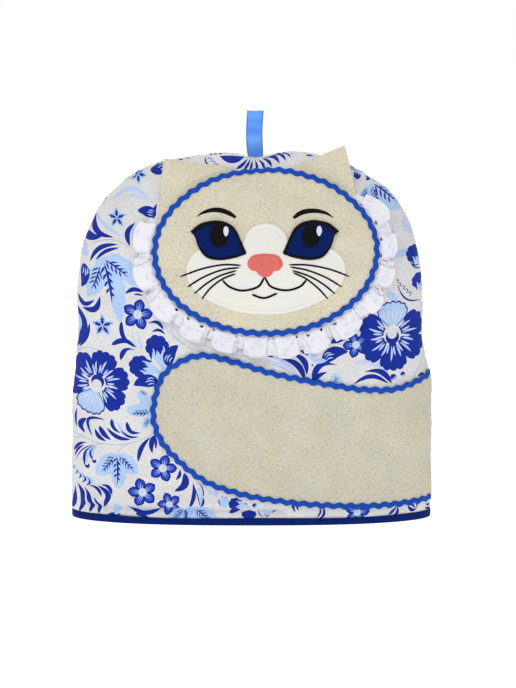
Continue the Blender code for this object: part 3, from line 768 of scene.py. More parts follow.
def sprig():
    """A small filler: a sprout of three strokes."""
    shapes = turned([("cobalt", comma(0.9, 0.26, 0.22))], 28)
    shapes += turned([("cobalt", comma(0.7, 0.2, -0.22))], -30)
    return shapes + [("cobalt", comma(1.05, 0.2, 0.05))]


MOTIFS = {
    motif.__name__: motif
    for motif in (flower, floret, star, leaf, lobe, twig, bud, petal, cap, dot,
                  fan, frond, crescents, hooks, beads, berry, sprig)
}

# %% [markdown]
# ## Where the motifs lie
# The front's places were read off enlarged crops of the photo, one motif at a time, and they
# stand here as they were read: the motif, where it starts and where its tip lies, in the crop's own
# pixels, and then what more the motif needs. A stroke has its start, middle and end, its width, and
# where along it it is thickest, and it is cobalt unless an ink comes first. Only places are read:
# every outline comes from the functions above. The script turns a place into millimetres across and
# up. The back is another cut of the same cloth, so its rows are placed freely, in millimetres.

# %% Reading a place
PIXEL = 0.00096  # the real size of a pixel of the photo
MIDDLE_COLUMN, HEM_ROW = 251, 525  # the photo's pixels under the cosy's middle and along its hem
SEEN_FROM = math.radians(8)  # above the table
READ_HALF_WIDTH = 0.168
CROPS = {  # each crop's left and top edge in the photo, and how many times it is enlarged
    "A": (66, 150, 10.4545), "B": (66, 280, 11.2), "C": (66, 400, 11.7), "D": (335, 150, 10.46),
    "E": (265, 315, 9.8), "F": (195, 140, 10.453), "G": (180, 475, 13.07), "P": (0, 0, 1),
}


def read_place(crop, x, y):
    """Millimetres across and up, on the swollen face that is seen from a little above."""
    left, top, enlarged = CROPS[crop]
    across, height = (left + x / enlarged - MIDDLE_COLUMN) * PIXEL, (HEM_ROW - top - y / enlarged) * PIXEL
    up = height
    for _ in range(30):
        share = min(seam_share(across / READ_HALF_WIDTH, max(0, up - SHOULDER) / RISE), 1)
        depth = HALF_DEPTH_HEM + (HALF_DEPTH["front"] - HALF_DEPTH_HEM) * smooth(
            (up - SWELLS_FROM) / (SWELLS_TO - SWELLS_FROM)
        )
        nearer = depth * math.sqrt(1 - share**FLATNESS) - HALF_DEPTH_HEM
        up = (height + nearer * math.sin(SEEN_FROM)) / math.cos(SEEN_FROM)
    return np.array([round(across * 1000, 1), round(float(up) * 1000, 1)])


def halves(place):
    """A place to half a millimetre, as fine as it can be read."""
    return [round(2 * value) / 2 for value in place.tolist()]


def read_rows(blocks):
    """The crop, the first word and the numbers of every row."""
    for crop, text in blocks:
        for row in text.split(","):
            words = row.split()
            word = words.pop(0) if words[0].isalpha() else "cobalt"
            yield crop, word, [float(number) for number in words]


def read_stroke(crop, ink, numbers):
    if crop == "real":  # typed in millimetres
        return ink, *numbers
    start, middle, end = (read_place(crop, *numbers[i : i + 2]) for i in (0, 2, 4))
    width, belly = (*numbers[6:], 0.5)[:2]
    length = math.hypot(*(end - start))
    (run_x, run_z), (rise_x, rise_z) = (end - start) / length, middle - start
    bend = round((-rise_x * run_z + rise_z * run_x) / length, 2)
    return ink, *halves(start), *halves(end), round(width / CROPS[crop][2] * PIXEL * 1000, 1), bend, belly


# %% The front's layout
FRONT_PRINT = [
    (motif, *halves(read_place(crop, *numbers[:2])), *halves(read_place(crop, *numbers[2:4])), *numbers[4:])
    for crop, motif, numbers in read_rows([
("A", """star 540 710 532 600, star 755 240 770 352, petal 1025 108 882 208 .75 .12,
petal 955 690 758 640 .5 -.1, petal 185 1165 150 1418 .36 .1, lobe 425 1110 218 1520 .42,
lobe 470 1090 760 1420 .46, lobe 450 1100 575 1800 .26, twig 362 1200 250 1458 .5,
twig 405 1175 480 1610 .3, twig 412 1138 665 1332 .44, berry 195 985 235 985, berry 200 1055 245 1055"""),
("B", """star 415 505 408 383, floret 805 385 842 212, bud 1098 1015 1000 618, bud 1092 1032 722 925,
petal 1150 962 1268 720 .44 .16, petal 1045 1145 768 1170 .46 -.14, flower 350 1140 235 1475"""),
("C", """lobe 1010 90 700 105 .5, lobe 1010 60 850 -110 .5, lobe 1000 150 905 325 .5,
twig 990 135 755 132 .38, twig 955 -60 868 -140 .5, twig 985 205 918 298 .6, beads 75 735 320 950,
lobe 600 625 345 850 .62, lobe 600 640 612 1035 .48, lobe 600 625 835 850 .62, twig 560 640 405 832 .44,
twig 592 640 596 990 .3, twig 615 640 802 830 .4, floret 1135 785 1182 628, floret 895 1070 850 898,
floret 1215 1200 1168 1070, lobe 595 1190 575 1335 .6, lobe 1390 1265 1190 1400 .6,
lobe 1400 1265 1420 1420 .6, lobe 1400 1260 1600 1370 .6, twig 1370 1275 1230 1390 .5,
twig 1400 1275 1410 1410 .4"""),
("G", """lobe 130 440 500 600 .5, twig 200 440 400 590 .5, twig 80 440 60 580 .5"""),
("D", """bud 270 150 215 300, lobe 440 350 690 610 .62, lobe 430 350 250 520 .56, lobe 430 370 530 700 .42,
twig 400 340 650 555 .44, twig 335 400 265 530 .6, twig 388 378 445 590 .4, lobe 780 1030 600 1120 .4,
bud 960 1200 780 1010, bud 990 1480 860 1290, hooks 640 1395 800 1520"""),
("E", """petal 560 470 805 355 .42 .2, floret 885 285 850 412, flower 1252 195 1246 -150,
lobe 460 440 485 330 .5, lobe 470 450 600 440 .4, lobe 685 700 690 560 .8, twig 670 690 705 590 .6,
bud 1290 640 1235 575, bud 1355 615 1345 545, dot 458 480 470 480, dot 458 340 468 340"""),
("F", """hooks 110 160 240 290"""),
("G", """berry 465 240 505 240, berry 400 225 430 225, bud 900 400 640 350, cap 900 440 900 570,
bud 1030 410 950 370, dot 1103 397 1112 397"""),
    ])
]
FRONT_STROKES = [
    read_stroke(*row)
    for row in read_rows([
("A", """haze 470 515 690 400 920 560 50, haze 600 500 740 480 880 560 26, 278 610 290 790 510 912 62 .38,
light 290 615 400 770 600 905 34 .35, 178 830 255 888 380 897 84 .25, 158 905 175 930 190 950 16,
550 985 370 1015 258 1160 42, 565 1020 415 1060 318 1145 34, light 722 780 708 870 690 950 26,
735 760 645 885 675 1005 50 .55, 675 1405 745 1388 790 1440 40, 620 1500 720 1455 820 1490 42,
710 1510 765 1508 815 1527 18, 925 722 928 650 958 565 40 .4"""),
("B", """128 120 205 255 315 215 48, 170 290 285 340 375 175 62, 103 240 190 450 106 715 90,
light 112 330 146 440 125 570 30, 265 470 228 620 140 730 42, 625 455 645 620 790 745 46 .35,
515 718 640 668 792 745 52 .35, 800 775 645 790 620 890 50 .7, 925 480 1020 462 1105 550 38 .6,
970 575 1050 552 1120 600 30, haze 745 560 760 660 830 765 28, haze 822 580 835 680 862 790 24"""),
("C", """125 60 100 160 112 285 24, haze 72 40 66 160 80 290 20, 235 195 155 270 212 362 62 .45,
light 290 235 255 300 300 390 36, 462 215 240 225 305 415 34 .5, 335 318 372 400 465 465 46,
390 285 440 380 526 452 56 .4, 475 305 590 412 760 446 46, 537 205 555 300 640 372 42 .35,
light 612 235 670 360 800 415 44, 640 335 730 408 862 412 26, 712 238 740 338 880 366 46 .35,
240 475 140 490 82 560 34 .6, 205 505 130 545 92 625 24, 340 507 180 560 104 685 14,
light 345 530 250 600 232 735 50, 400 517 205 600 212 752 28 .75, 208 735 232 768 264 728 34,
light 350 535 300 600 318 690 40, 345 532 275 600 305 690 24 .7, 298 685 320 712 345 682 34,
1000 412 880 560 848 708 50 .55, 1048 400 1010 490 1020 608 58 .35, 1064 430 1062 490 1056 556 24,
1338 800 1330 870 1285 925 36, 1385 838 1400 960 1268 1056 80 .45, 1490 955 1495 1120 1450 1247 44 .55,
705 1230 860 1312 1120 1247 46 .55, haze 760 1250 880 1280 1040 1262 22, 92 940 92 1100 45 1258 62 .72,
122 945 195 1110 128 1298 58, 198 998 275 1130 272 1312 56 .62, 333 1120 370 1220 382 1325 40 .6,
245 985 345 1015 415 1122 38 .6, 360 990 490 1080 412 1252 60, 395 982 490 1005 536 1098 42 .6,
470 1335 560 1325 645 1340 34, 808 1325 890 1340 955 1395 54"""),
("D", """haze 720 660 730 780 835 860 50, haze 760 650 800 740 850 830 14, 350 205 360 260 318 305 46 .4,
415 245 430 275 447 305 12, 145 130 205 160 248 175 26, 640 1395 700 1530 945 1540 17,
655 1345 650 1355 665 1372 16, light 530 1460 590 1530 660 1568 70, 905 1165 850 1200 775 1165 14,
925 1200 850 1225 790 1180 13, light 870 1330 885 1280 920 1265 20"""),
("E", """20 390 50 395 80 405 22, haze 0 430 170 480 355 630 30, stem 0 460 150 500 300 600 10,
haze 30 395 160 430 330 620 30, 160 418 300 470 388 632 56 .55, 270 375 370 430 404 578 52 .5,
345 345 390 355 412 390 40, light 365 335 400 345 425 375 16, 640 270 690 240 775 235 60 .5,
710 482 520 495 460 650 56 .65, 610 550 540 575 470 640 40 .6, haze 150 575 190 580 250 600 26,
haze 860 470 1060 455 1210 560 60, 965 548 1080 525 1240 658 50 .6, 862 672 1020 592 1210 662 40,
stem 1560 440 1500 510 1450 620 8, 1500 590 1530 560 1568 545 20"""),
("F", """252 155 370 205 520 142 62"""),
("real", """-3 351.5 -14 341 2.7 .06 .6, -0.5 351.5 -7 340.5 2.4 .05 .6, 1.5 351 -1 340.5 2.3 .03 .65,
3.5 351.5 6 340.5 2.4 .06 .65, 6 351.5 13 341 2.4 .12 .65, 9.5 352 20 342.5 2.6 .14 .6,
12 353 27.5 344.5 3.2 .19 .5, 16.5 353.5 33.5 346.5 3.2 .22 .55, 22 354 38 348.5 3 .29 .6"""),
("F", """1165 170 1200 155 1250 165 36 .4, 740 130 760 122 785 112 20, 1010 118 1025 125 1045 138 18,
1300 135 1318 132 1335 142 14, 108 150 115 220 160 280 16, light 1050 120 1060 150 1070 185 30"""),
("G", """175 110 180 260 125 410 44 .6, light 220 150 270 230 270 400 40, 185 55 290 150 305 290 18 .7,
190 150 230 260 270 410 14, 305 280 305 360 270 412 30, 495 305 530 370 595 412 18,
500 310 540 330 590 345 16, 540 265 575 290 605 262 16, light 520 300 580 340 650 390 110,
800 355 850 360 890 362 20, light 780 375 840 375 910 400 26, 640 490 700 455 790 440 60,
1040 440 1060 530 1100 530 14, 1100 500 1130 530 1170 500 14, 1170 490 1210 480 1260 440 14,
light 1050 455 1110 480 1230 450 50"""),
    ])
]
FRONT_STEMS = [  # thin stalks, through these points
    [halves(read_place(crop, x, y)) for x, y in zip(numbers[::2], numbers[1::2])]
    for crop, _, numbers in read_rows([
("A", """285 970 390 935 500 935 600 970 670 1020"""),
("B", """90 785 180 750 300 750 400 790, 1090 460 1180 600 1344 720"""),
("C", """60 340 170 400 250 440, 60 412 200 415 350 485 600 505 750 495 930 430 1050 365,
600 615 650 550 730 500, 345 510 380 500 430 505, 1130 545 1130 620"""),
("P", """171 330 180 340 192 348 205 352, 205 345 225 352 250 356 262 357"""),
("G", """270 100 350 170 420 220"""),
    ])
]

# %% The back's layout: motif, start and tip, then what more it needs
BACK_PRINT = [
    ("flower", -94, 262, -78, 289), ("flower", 62, 120, 30, 108), ("flower", 112, 268, 126, 245),
    ("flower", -122, 88, -96, 98), ("floret", -10, 205, 4, 210), ("floret", 14, 228, 27, 226),
    ("floret", -38, 60, -24, 62), ("floret", 128, 62, 139, 68), ("floret", -150, 190, -138, 190),
    ("star", 40, 310, 51, 310), ("star", -52, 325, -43, 330), ("star", 142, 190, 153, 192),
    ("star", -60, 150, -51, 147), ("star", 10, 30, 20, 30), ("leaf", 30, 276, 11, 241),
    ("leaf", -34, 140, -11, 112), ("leaf", 112, 150, 140, 166), ("leaf", -126, 168, -143, 139),
    ("leaf", -90, 30, -122, 36), ("bud", -28, 244, -18, 272), ("bud", -34, 240, -47, 265),
    ("bud", 74, 196, 97, 215), ("bud", -70, 92, -42, 102), ("petal", -22, 236, 2, 245),
    ("petal", 76, 204, 73, 230), ("petal", 150, 118, 154, 94), ("petal", -150, 240, -138, 261),
    ("frond", -64, 190, 4, 207, 7, (1,), 50), ("frond", 96, 30, 38, 51, 6, (-1, 1), 50),
    ("frond", -4, 296, 6, 355, 6, (-1,), 46),
    ("fan", 152, 34, 145, 69, (-41, -21, -1, 21, 43), (1.0, 1.1, 1.1, 1.0, 0.9)),
    ("fan", -160, 130, -127, 122, (-46, -22, 0, 24, 46), (0.9, 1.1, 1.15, 1.0, 0.9)),
    ("fan", 4, 352, 3, 324, (-57, -27, 1, 27, 57), (1.2, 1.0, 0.9, 1.0, 1.2)),
    ("hooks", 60, 232, 100, 238), ("hooks", -120, 320, -138, 289), ("beads", -20, 100, 9, 117),
    ("beads", 92, 322, 111, 299), ("crescents", 18, 92, 1, 121),
    ("crescents", -150, 46, -144, 79), ("crescents", 150, 240, 147, 208),
    ("crescents", -84, 212, -114, 217), ("crescents", 96, 214, 110, 190),
    ("crescents", 34, 176, 6, 166),
]
BACK_STROKES = [  # ink, start, end, width, bend and belly
    ("haze", -140, 290, -99, 305, 7, 0.24, 0.5), ("haze", -20, 330, -58, 316, 6, 0.22, 0.5),
    ("haze", 60, 250, 20, 273, 7, 0.2, 0.5), ("haze", -60, 120, -51, 169, 8, 0.16, 0.5),
    ("haze", 20, 62, -27, 70, 8, 0.2, 0.5), ("haze", 140, 100, 154, 138, 6, 0.2, 0.5),
    ("haze", -150, 150, -156, 185, 6, 0.2, 0.5),
]
BACK_STEMS = [
    [(-160, 200), (-120, 210), (-80, 196), (-40, 210), (-14, 236)],
    [(-14, 190), (20, 170), (50, 160), (80, 190), (110, 232)],
    [(-120, 120), (-80, 110), (-40, 110), (0, 130), (30, 120)],
    [(96, 100), (120, 90), (140, 110), (150, 150), (130, 200)],
    [(-60, 30), (-20, 44), (20, 40), (60, 60)],
]

# %% [markdown]
# ## Filling the gaps between motifs
# A dense print leaves no bare patch wider than a thumb. After the rows are drawn, the emptiest point
# of the cloth is looked for again and again, and a small sprig, floret or berry goes there.


# %% Drawing the layout
CORNER_EVERY = 0.0008  # along a printed outline, so that its triangles can't cut across it


def placed(shapes, start, end):
    """Shapes of unit length along +X, laid from start to end, which are given in millimetres."""
    run = np.subtract(end, start) * 0.001
    degrees = math.degrees(math.atan2(run[1], run[0]))
    return turned(shapes, degrees, np.multiply(start, 0.001), np.hypot(*run))


def stepped(polygon):
    """The same outline with more corners."""
    after = np.roll(polygon, -1, axis=0)
    parts = np.ceil(np.linalg.norm(after - polygon, axis=1) / CORNER_EVERY).astype(int).clip(1)
    return np.concatenate(
        [a + (b - a) * np.arange(n)[:, None] / n for a, b, n in zip(polygon, after, parts)]
    )


def drawn_print(motifs, strokes, stems, seed, clear):
    """All printed shapes of one panel, on the flat cloth, in the order in which they are painted."""
    seen = []
    for ink, x0, z0, x1, z1, width, bend, belly in sorted(strokes, key=lambda row: row[0] != "haze"):
        line = comma(1, width / math.hypot(x1 - x0, z1 - z0), bend, belly, 13)
        seen += placed([(ink, line)], (x0, z0), (x1, z1))
    for points in stems:
        seen.insert(0, ("stem", swept(curve_through(np.array(points, float) * 0.001, 6), 0.00035)))
    for motif, x0, z0, x1, z1, *more in motifs:
        seen += placed(MOTIFS[motif](*more), (x0, z0), (x1, z1))
    shapes = [(ink, flat_at(*polygon.T, 0.985)) for ink, polygon in seen]
    shapes += fillers(np.concatenate([polygon for _, polygon in shapes]), seed, clear)
    return [(ink, stepped(polygon)) for ink, polygon in shapes]


FILLERS = ["sprig", "crescents", "berry", "star", "sprig", "crescents", "floret"]
FILLER_SHARES = {"berry": 0.34, "star": 0.82, "floret": 0.82}  # of the room; a stroke takes 1.2
FILLER_SIZE = 0.013  # at most


def fillers(taken, seed, clear):
    """Small motifs in the emptiest places of the cloth, until no gap is wider than clear."""
    chance = np.random.default_rng(seed)
    spots = grid_inside(np.array([-0.19, 0.012]), np.array([0.19, 0.4]), 0.0022)
    spots = spots[share_at(*spots.T) < 0.97]
    tree = KDTree(len(taken))
    for index, (u, v) in enumerate(taken.tolist()):
        tree.insert((u, v, 0), index)
    tree.balance()
    room = np.array([tree.find((u, v, 0))[2] for u, v in spots.tolist()])
    shapes = []
    while room.max() > clear:
        best = int(room.argmax())
        kind = FILLERS[chance.integers(len(FILLERS))]
        size = min(room[best] * FILLER_SHARES.get(kind, 1.2), FILLER_SIZE)
        middle = 0.5 if kind in ("sprig", "crescents") else 0.0  # strokes start at the origin
        motif = [(ink, polygon - [middle, 0]) for ink, polygon in MOTIFS[kind]()]
        shapes += turned(motif, chance.uniform(0, 360), spots[best], size)
        away = np.linalg.norm(spots - spots[best], axis=1)
        room = np.minimum(room, away - size * (1 - middle))
    print(len(shapes), "filler shapes")
    return shapes


# %% The printed cloth's material
WARM, COOL = (1.015, 1.0, 0.965, 1), (0.985, 0.995, 1.02, 1)  # uneven bleaching tints the yarn


def print_material():
    """Ink soaks into the yarn: it takes the weave's relief, and thick pale slubs show through it."""
    material, tree, shader, place = new_material("print cloth", 0.86, 0.03)
    weave = use_group(tree, PLAIN_WEAVE, Vector=place, Threads=1500.0, Slubs=1.0)
    ink = tree.nodes.new("ShaderNodeVertexColor")
    ink.layer_name = "ink"
    tint = mixed(tree, ranged(tree, noise(tree, place, 90, 2), 0.35, 0.65), (1.02, 1.0, 0.975, 1), COOL)
    yarn = multiplied(tree, ink.outputs["Color"], tint)
    colour = multiplied(tree, yarn, grey(tree, ranged(tree, weave["Shade"], -0.3, 0.3, 0.8, 1.1)))
    worn = math_node(tree, "MULTIPLY", weave["Fleck"], 0.06)
    tree.links.new(mixed(tree, worn, colour, tone(176, 172, 160)), shader["Base Color"])
    relief(tree, shader, weave["Height"], 0.35, 0.0003)
    return material


def plain_material(name, colour, fleck_colour, flecks, slubs, threads=1500.0, low=0.78, high=1.1):
    """Undyed or white cloth: slubs shade it, and flecks of husk or fluff lie in the yarn."""
    material, tree, shader, place = new_material(name, 0.9, 0.04)
    weave = use_group(tree, PLAIN_WEAVE, Vector=place, Threads=threads, Slubs=slubs)
    tint = mixed(tree, ranged(tree, noise(tree, place, 40, 3), 0.38, 0.62), WARM, COOL)
    yarn = multiplied(tree, tint, colour)
    shaded = multiplied(tree, yarn, grey(tree, ranged(tree, weave["Shade"], -0.3, 0.3, low, high)))
    amount = math_node(tree, "MULTIPLY", weave["Fleck"], flecks)
    tree.links.new(mixed(tree, amount, shaded, fleck_colour), shader["Base Color"])
    relief(tree, shader, weave["Height"], 0.35, 0.0003)
    return material


PRINT_CLOTH = print_material()
INSIDE_CLOTH = plain_material("inside cloth", tone(228, 224, 214), tone(190, 184, 170), 0.3, 0.6)

# %% [markdown]
# ## The two padded panels
# Each panel is print cloth outside, batting, and plain cloth inside. It is one closed pad, thick over
# the body and thin where the binding takes it. A cloth simulation could blow it up, but the form is
# known from its seams, and the print must stay crisp. So the pad is made from its two faces: the
# outer one is cut along the print, and the inner one is plain.

# %% The panels
PAD, HEM_PAD, HEM_FACE, HEM_BOTTOM = 0.008, 0.0046, -0.0019, 0.0015
BINDING_HEIGHT = 0.007


def panel_outline():
    """Up the left side, over the top and down the right side, closed along the hem."""
    v = np.linspace(HEM_BOTTOM, SHOULDER, 64)
    left, right = (pairs(side * half_width(side + 0 * v, v) * CUT, v) for side in (-1, 1))
    turn = np.radians(np.linspace(-90, 90, 171)[1:-1])
    across, up = np.sin(turn), np.cos(turn)
    rounding = 1 / seam_share(across, up)
    side = np.where(across < 0, HALF_WIDTH_SHOULDER[-1], HALF_WIDTH_SHOULDER[1])
    top = pairs(across * rounding * side * CUT, SHOULDER + up * rounding * RISE * CUT)
    bottom = np.linspace(right[0], left[0], 150)[1:-1]
    return np.concatenate([left, top, right[::-1], bottom])[::-1]


def outer_face(side, flat):
    """The print cloth's face, drawn in along its seam and under the binding."""
    u, v = flat.T
    to_seam = (1 - share_at(u, v)) * CUT * HALF_WIDTH_SHOULDER[1]
    groove = -SEAM_GROOVE * np.exp(-((to_seam / SEAM_GROOVE_WIDTH) ** 2))
    groove = groove * smooth((v - BINDING_HEIGHT) / 0.003)
    tucked = HEM_FACE * (1 - smooth((v - BINDING_HEIGHT) / 0.0018))
    return on_cloth(flat, groove + tucked, side)


def inner_face(side, flat):
    u, v = flat.T
    thick = (HEM_PAD - HEM_FACE) + (PAD - HEM_PAD + HEM_FACE) * smooth((v - 0.006) / 0.01)
    return cloth(side, u, v) - outward(side, u, v) * thick[:, None]


def panel(side, shapes):
    outline = panel_outline()
    flat, triangles, inks = cut_flat(outline, shapes, spacing=0.0034)
    rim = rim_edges(triangles)
    loop = loops_of(rim)[0]
    back_flat, back_triangles, _ = cut_flat(flat[loop], spacing=0.007)
    count = len(flat)  # the inner face's points are numbered from here
    nearest = {tuple(np.round(point, 7)): index for index, point in enumerate(back_flat)}
    partner = {vertex: count + nearest[tuple(np.round(flat[vertex], 7))] for vertex in loop}
    walls = [(b, a, partner[a], partner[b]) for a, b in rim]
    faces = [*triangles.tolist(), *(back_triangles[:, ::-1] + count).tolist(), *walls]
    points = np.concatenate([outer_face(side, flat), inner_face(side, back_flat)])
    points[:, 1] += GAP / 2 * (-1 if side == "front" else 1)
    if side == "back":
        faces = [face[::-1] for face in faces]
    slots = [0] * len(triangles) + [1] * (len(faces) - len(triangles))
    all_inks = np.concatenate([inks, np.zeros(len(faces) - len(triangles), int)])
    piece = build(
        f"padded_{side}", points, faces, [PRINT_CLOTH, INSIDE_CLOTH], slots,
        np.concatenate([flat, back_flat]), all_inks,
    )
    finish(piece, "print_cloth", f"panel_{side}")


panel("front", drawn_print(FRONT_PRINT, FRONT_STROKES, FRONT_STEMS, 4, 0.0145))
panel("back", drawn_print(BACK_PRINT, BACK_STROKES, BACK_STEMS, 9, 0.0098))

# %% [markdown]
# ## Cloths and threads of the cat
# The cat is cut from plain linen, whose dark flecks are bits of husk. The muzzle and the lace are
# white cotton, the braid is woven, and the outlines are satin stitch. In satin stitch the threads lie
# side by side across the line, so the thread group's ribs run across each strip.


# %% Thread materials
def thread_material(name, colour, deep, roughness, ribs, height=0.00012, sheen=0.0, across=0.0):
    """Threads side by side. The grooves between them are painted darker, as painted shade, and the colour
    also varies at random towards the darker tone.
    """
    material, tree, shader, place = new_material(name, roughness, sheen)
    laid = use_group(tree, LAID_THREADS, Vector=place, Along=ribs, Across=across)
    # painted shade: the colour turns to the deep tone in the grooves between the ribs
    threads = mixed(tree, ranged(tree, laid["Height"], 0.0, 0.5, 0.55, 0.0), colour, deep)
    uneven = ranged(tree, laid["Shade"], 0.3, 0.7, 0.0, 0.35)
    tree.links.new(mixed(tree, uneven, threads, deep), shader["Base Color"])
    relief(tree, shader, laid["Height"], 0.6, height)
    return material


HUSK, FLUFF = tone(92, 84, 72), tone(200, 198, 190)
# The tail's linen is the cat's linen made a little darker: painted shade for the tail low on the front,
# which gets less light.
LINEN, SHADED_TAIL_LINEN = (
    plain_material(f"{piece} linen", colour, HUSK, 0.8, 1.0, low=0.77)
    for piece, colour in (("cat", tone(206, 200, 179)), ("tail", tone(194, 190, 172)))
)
WHITE = plain_material("white cotton", tone(218, 217, 211), FLUFF, 0.3, 0.25, 2200.0, 0.93, 1.04)
NAVY = plain_material("navy binding", tone(4, 30, 98), tone(14, 50, 124), 0.3, 0.7, 2200.0, 0.8, 1.15)
NAVY_EYE = thread_material("navy cotton", tone(0, 27, 94), tone(0, 15, 62), 0.6, 1500, across=300)
BLACK = thread_material("black satin stitch", tone(14, 12, 14), tone(3, 3, 4), 0.5, 2600)
CATCHLIGHT = thread_material("white satin stitch", tone(222, 224, 236), tone(170, 174, 190), 0.5, 2200)
CORAL = thread_material(
    "coral filling stitch", tone(226, 120, 110), tone(166, 66, 62), 0.7, 1300, 0.0002, 0.05, 1300
)
BRAID = thread_material("rickrack", tone(24, 78, 180), tone(10, 48, 138), 0.75, 900, 0.0002, 0.03, 900)


# %% Lace cotton
def lace_material():
    """White cotton with a worked leaf pattern. The leaves are raised, and also painted a little darker, as
    painted shade of their relief.
    """
    material, tree, shader, place = new_material("eyelet lace", 0.85, 0.03)
    weave = use_group(tree, PLAIN_WEAVE, Vector=place, Threads=2200.0, Slubs=0.3)
    cells = add_node(tree, "ShaderNodeTexVoronoi", Vector=stretched(tree, place, 150, 230), Scale=1.0)
    leaves = ranged(tree, cells.outputs["Distance"], 0.24, 0.36, 1.0, 0.0)
    # painted shade: the leaves are a little darker than the cloth round them
    tree.links.new(mixed(tree, leaves, tone(222, 222, 230), tone(208, 209, 220)), shader["Base Color"])
    relief(tree, shader, math_node(tree, "MULTIPLY_ADD", leaves, 2.2, weave["Height"]), 0.5, 0.00035)
    return material


LACE = lace_material()


# %% Satin ribbon
def ribbon_material():
    """Satin: long floats along the ribbon shine, and its woven edges are duller and a little darker."""
    material, tree, shader, place = new_material("satin ribbon", 0.34, 0.05, 0.4)
    laid = use_group(tree, LAID_THREADS, Vector=place, Along=0.0, Across=2400.0)
    split = add_node(tree, "ShaderNodeSeparateXYZ", Vector=place)
    edge = ranged(tree, math_node(tree, "ABSOLUTE", split.outputs["Y"]), 0.0066, 0.0071)
    streaks = ranged(tree, noise(tree, stretched(tree, place, 90, 12), 1, 1), 0.35, 0.65)
    body = mixed(tree, streaks, tone(66, 130, 226), tone(98, 158, 240))
    tree.links.new(mixed(tree, edge, body, tone(54, 110, 208)), shader["Base Color"])
    tree.links.new(math_node(tree, "MULTIPLY_ADD", edge, 0.25, 0.34), shader["Roughness"])
    relief(tree, shader, laid["Height"], 0.3, 0.0001)
    return material


SATIN = ribbon_material()

# %% [markdown]
# ## Sewing a flat piece onto the cosy
# An appliqué is a thin sheet that is laid on the padded front and stitched down round its edge. Each
# one is cut flat along its outline, lifted onto the folded cloth, and given a back and a side wall.
# Its edge is turned under or covered with stitches, so it rolls down at the rim.

# %% Layers above the front's face: the underside and the top of each piece
LAYERS = {
    "tail": (0.0003, 0.0014),
    "tail_braid": (0.0016, 0.0031),
    "under_rim": (0.0003, 0.0014),
    "head": (0.0004, 0.0016),
    "head_rim": (0.0016, 0.0028),
    "muzzle": (0.0018, 0.0026),
    "features": (0.0028, 0.0036),
    "head_braid": (0.003, 0.0045),
}


# %% Helpers for sheets
def drawn(outline):
    """The points on the flat cloth of a line drawn in x and z, as the front shows it."""
    outline = np.asarray(outline, float)
    return flat_at(outline[..., 0], outline[..., 1])


def to_line(points, line):
    """Each point's distance to a closed line."""
    start, run = line, np.roll(line, -1, axis=0) - line
    away = points[:, None] - start[None]
    share = np.clip((away * run).sum(2) / np.maximum((run * run).sum(1), 1e-15), 0, 1)
    return np.linalg.norm(away - share[..., None] * run, axis=2).min(axis=1)


def inset(outline, distance):
    """An outline moved inwards."""
    outline = counterclockwise(outline)
    return outline + sideways(np.roll(outline, -1, axis=0) - np.roll(outline, 1, axis=0)) * distance


def closed_sheet(top, bottom, triangles):
    """The faces of a sheet with two sides and a wall round every rim."""
    count = len(top)
    walls = [(b, a, a + count, b + count) for a, b in rim_edges(triangles)]
    faces = [*triangles.tolist(), *(triangles[:, ::-1] + count).tolist(), *walls]
    return np.concatenate([top, bottom]), faces


def cloth_area(flat, triangles):
    a, b, c = (flat[triangles[:, i]] for i in range(3))
    return float(np.abs((b - a)[:, 0] * (c - a)[:, 1] - (b - a)[:, 1] * (c - a)[:, 0]).sum() / 2)


def applique(name, outline, lift_of, thickness, material, spacing=0.003, roll=0.0006, seams=()):
    """A sheet on the front. lift_of gives its face's height from the flat place and the way to the rim."""
    rings = [("bare", inset(outline, step)) for step in (0.0005, 0.0012, 0.0022, *seams)]
    flat, triangles, _ = cut_flat(outline, rings, spacing=spacing)
    to_rim = to_line(flat, outline)
    lift = lift_of(flat, to_rim) - roll * (1 - smooth(to_rim / 0.0014)) ** 2
    top = on_cloth(flat, lift)
    bottom = on_cloth(flat, np.minimum(lift - 0.0003, lift_of(flat, to_rim) - thickness))
    points, faces = closed_sheet(top, bottom, triangles)
    piece = build(name, points, faces, [material], flat=np.concatenate([flat, flat]))
    return piece, cloth_area(flat, triangles)


def grid_sheet(top, bottom, round_columns=False):
    """Points and faces of a sheet between two grids of points, with walls where it ends."""
    rows, columns = top.shape[:2]
    count = rows * columns
    ids = np.arange(count).reshape(rows, columns)
    if round_columns:
        ids = np.concatenate([ids, ids[:, :1]], axis=1)
    faces = []
    for i in range(rows - 1):
        for j in range(ids.shape[1] - 1):
            corners = (ids[i, j], ids[i, j + 1], ids[i + 1, j + 1], ids[i + 1, j])
            faces += [corners, tuple(corner + count for corner in corners[::-1])]
    ends = [ids[0][::-1], ids[-1]] + ([] if round_columns else [ids[:, 0], ids[::-1, -1]])
    edges = [edge for end in ends for edge in zip(end, end[1:])]
    faces += [(b, a, a + count, b + count) for a, b in edges]
    return np.concatenate([top.reshape(-1, 3), bottom.reshape(-1, 3)]), faces


DOUBLED = 1e-6  # points this close are one


def mended(piece):
    """Merges doubled points and turns all faces outwards."""
    work = bmesh.new()
    work.from_mesh(piece.data)
    bmesh.ops.remove_doubles(work, verts=work.verts, dist=DOUBLED)
    bmesh.ops.dissolve_degenerate(work, edges=work.edges, dist=DOUBLED)
    bmesh.ops.recalc_face_normals(work, faces=work.faces)
    work.to_mesh(piece.data)
    work.free()
    return piece


# %% [markdown]
# ## Head and muzzle
# The head is an oval of linen. Its rim rides over the ears and the lace, which are tucked under it.
# The muzzle is a white oval with a rounded bridge between the eyes.

# %% The head's oval
HEAD_X, HEAD_Z = 0.014, 0.2632
HEAD_HALF_WIDTH, HEAD_HALF_HEIGHT = 0.1052, 0.0757


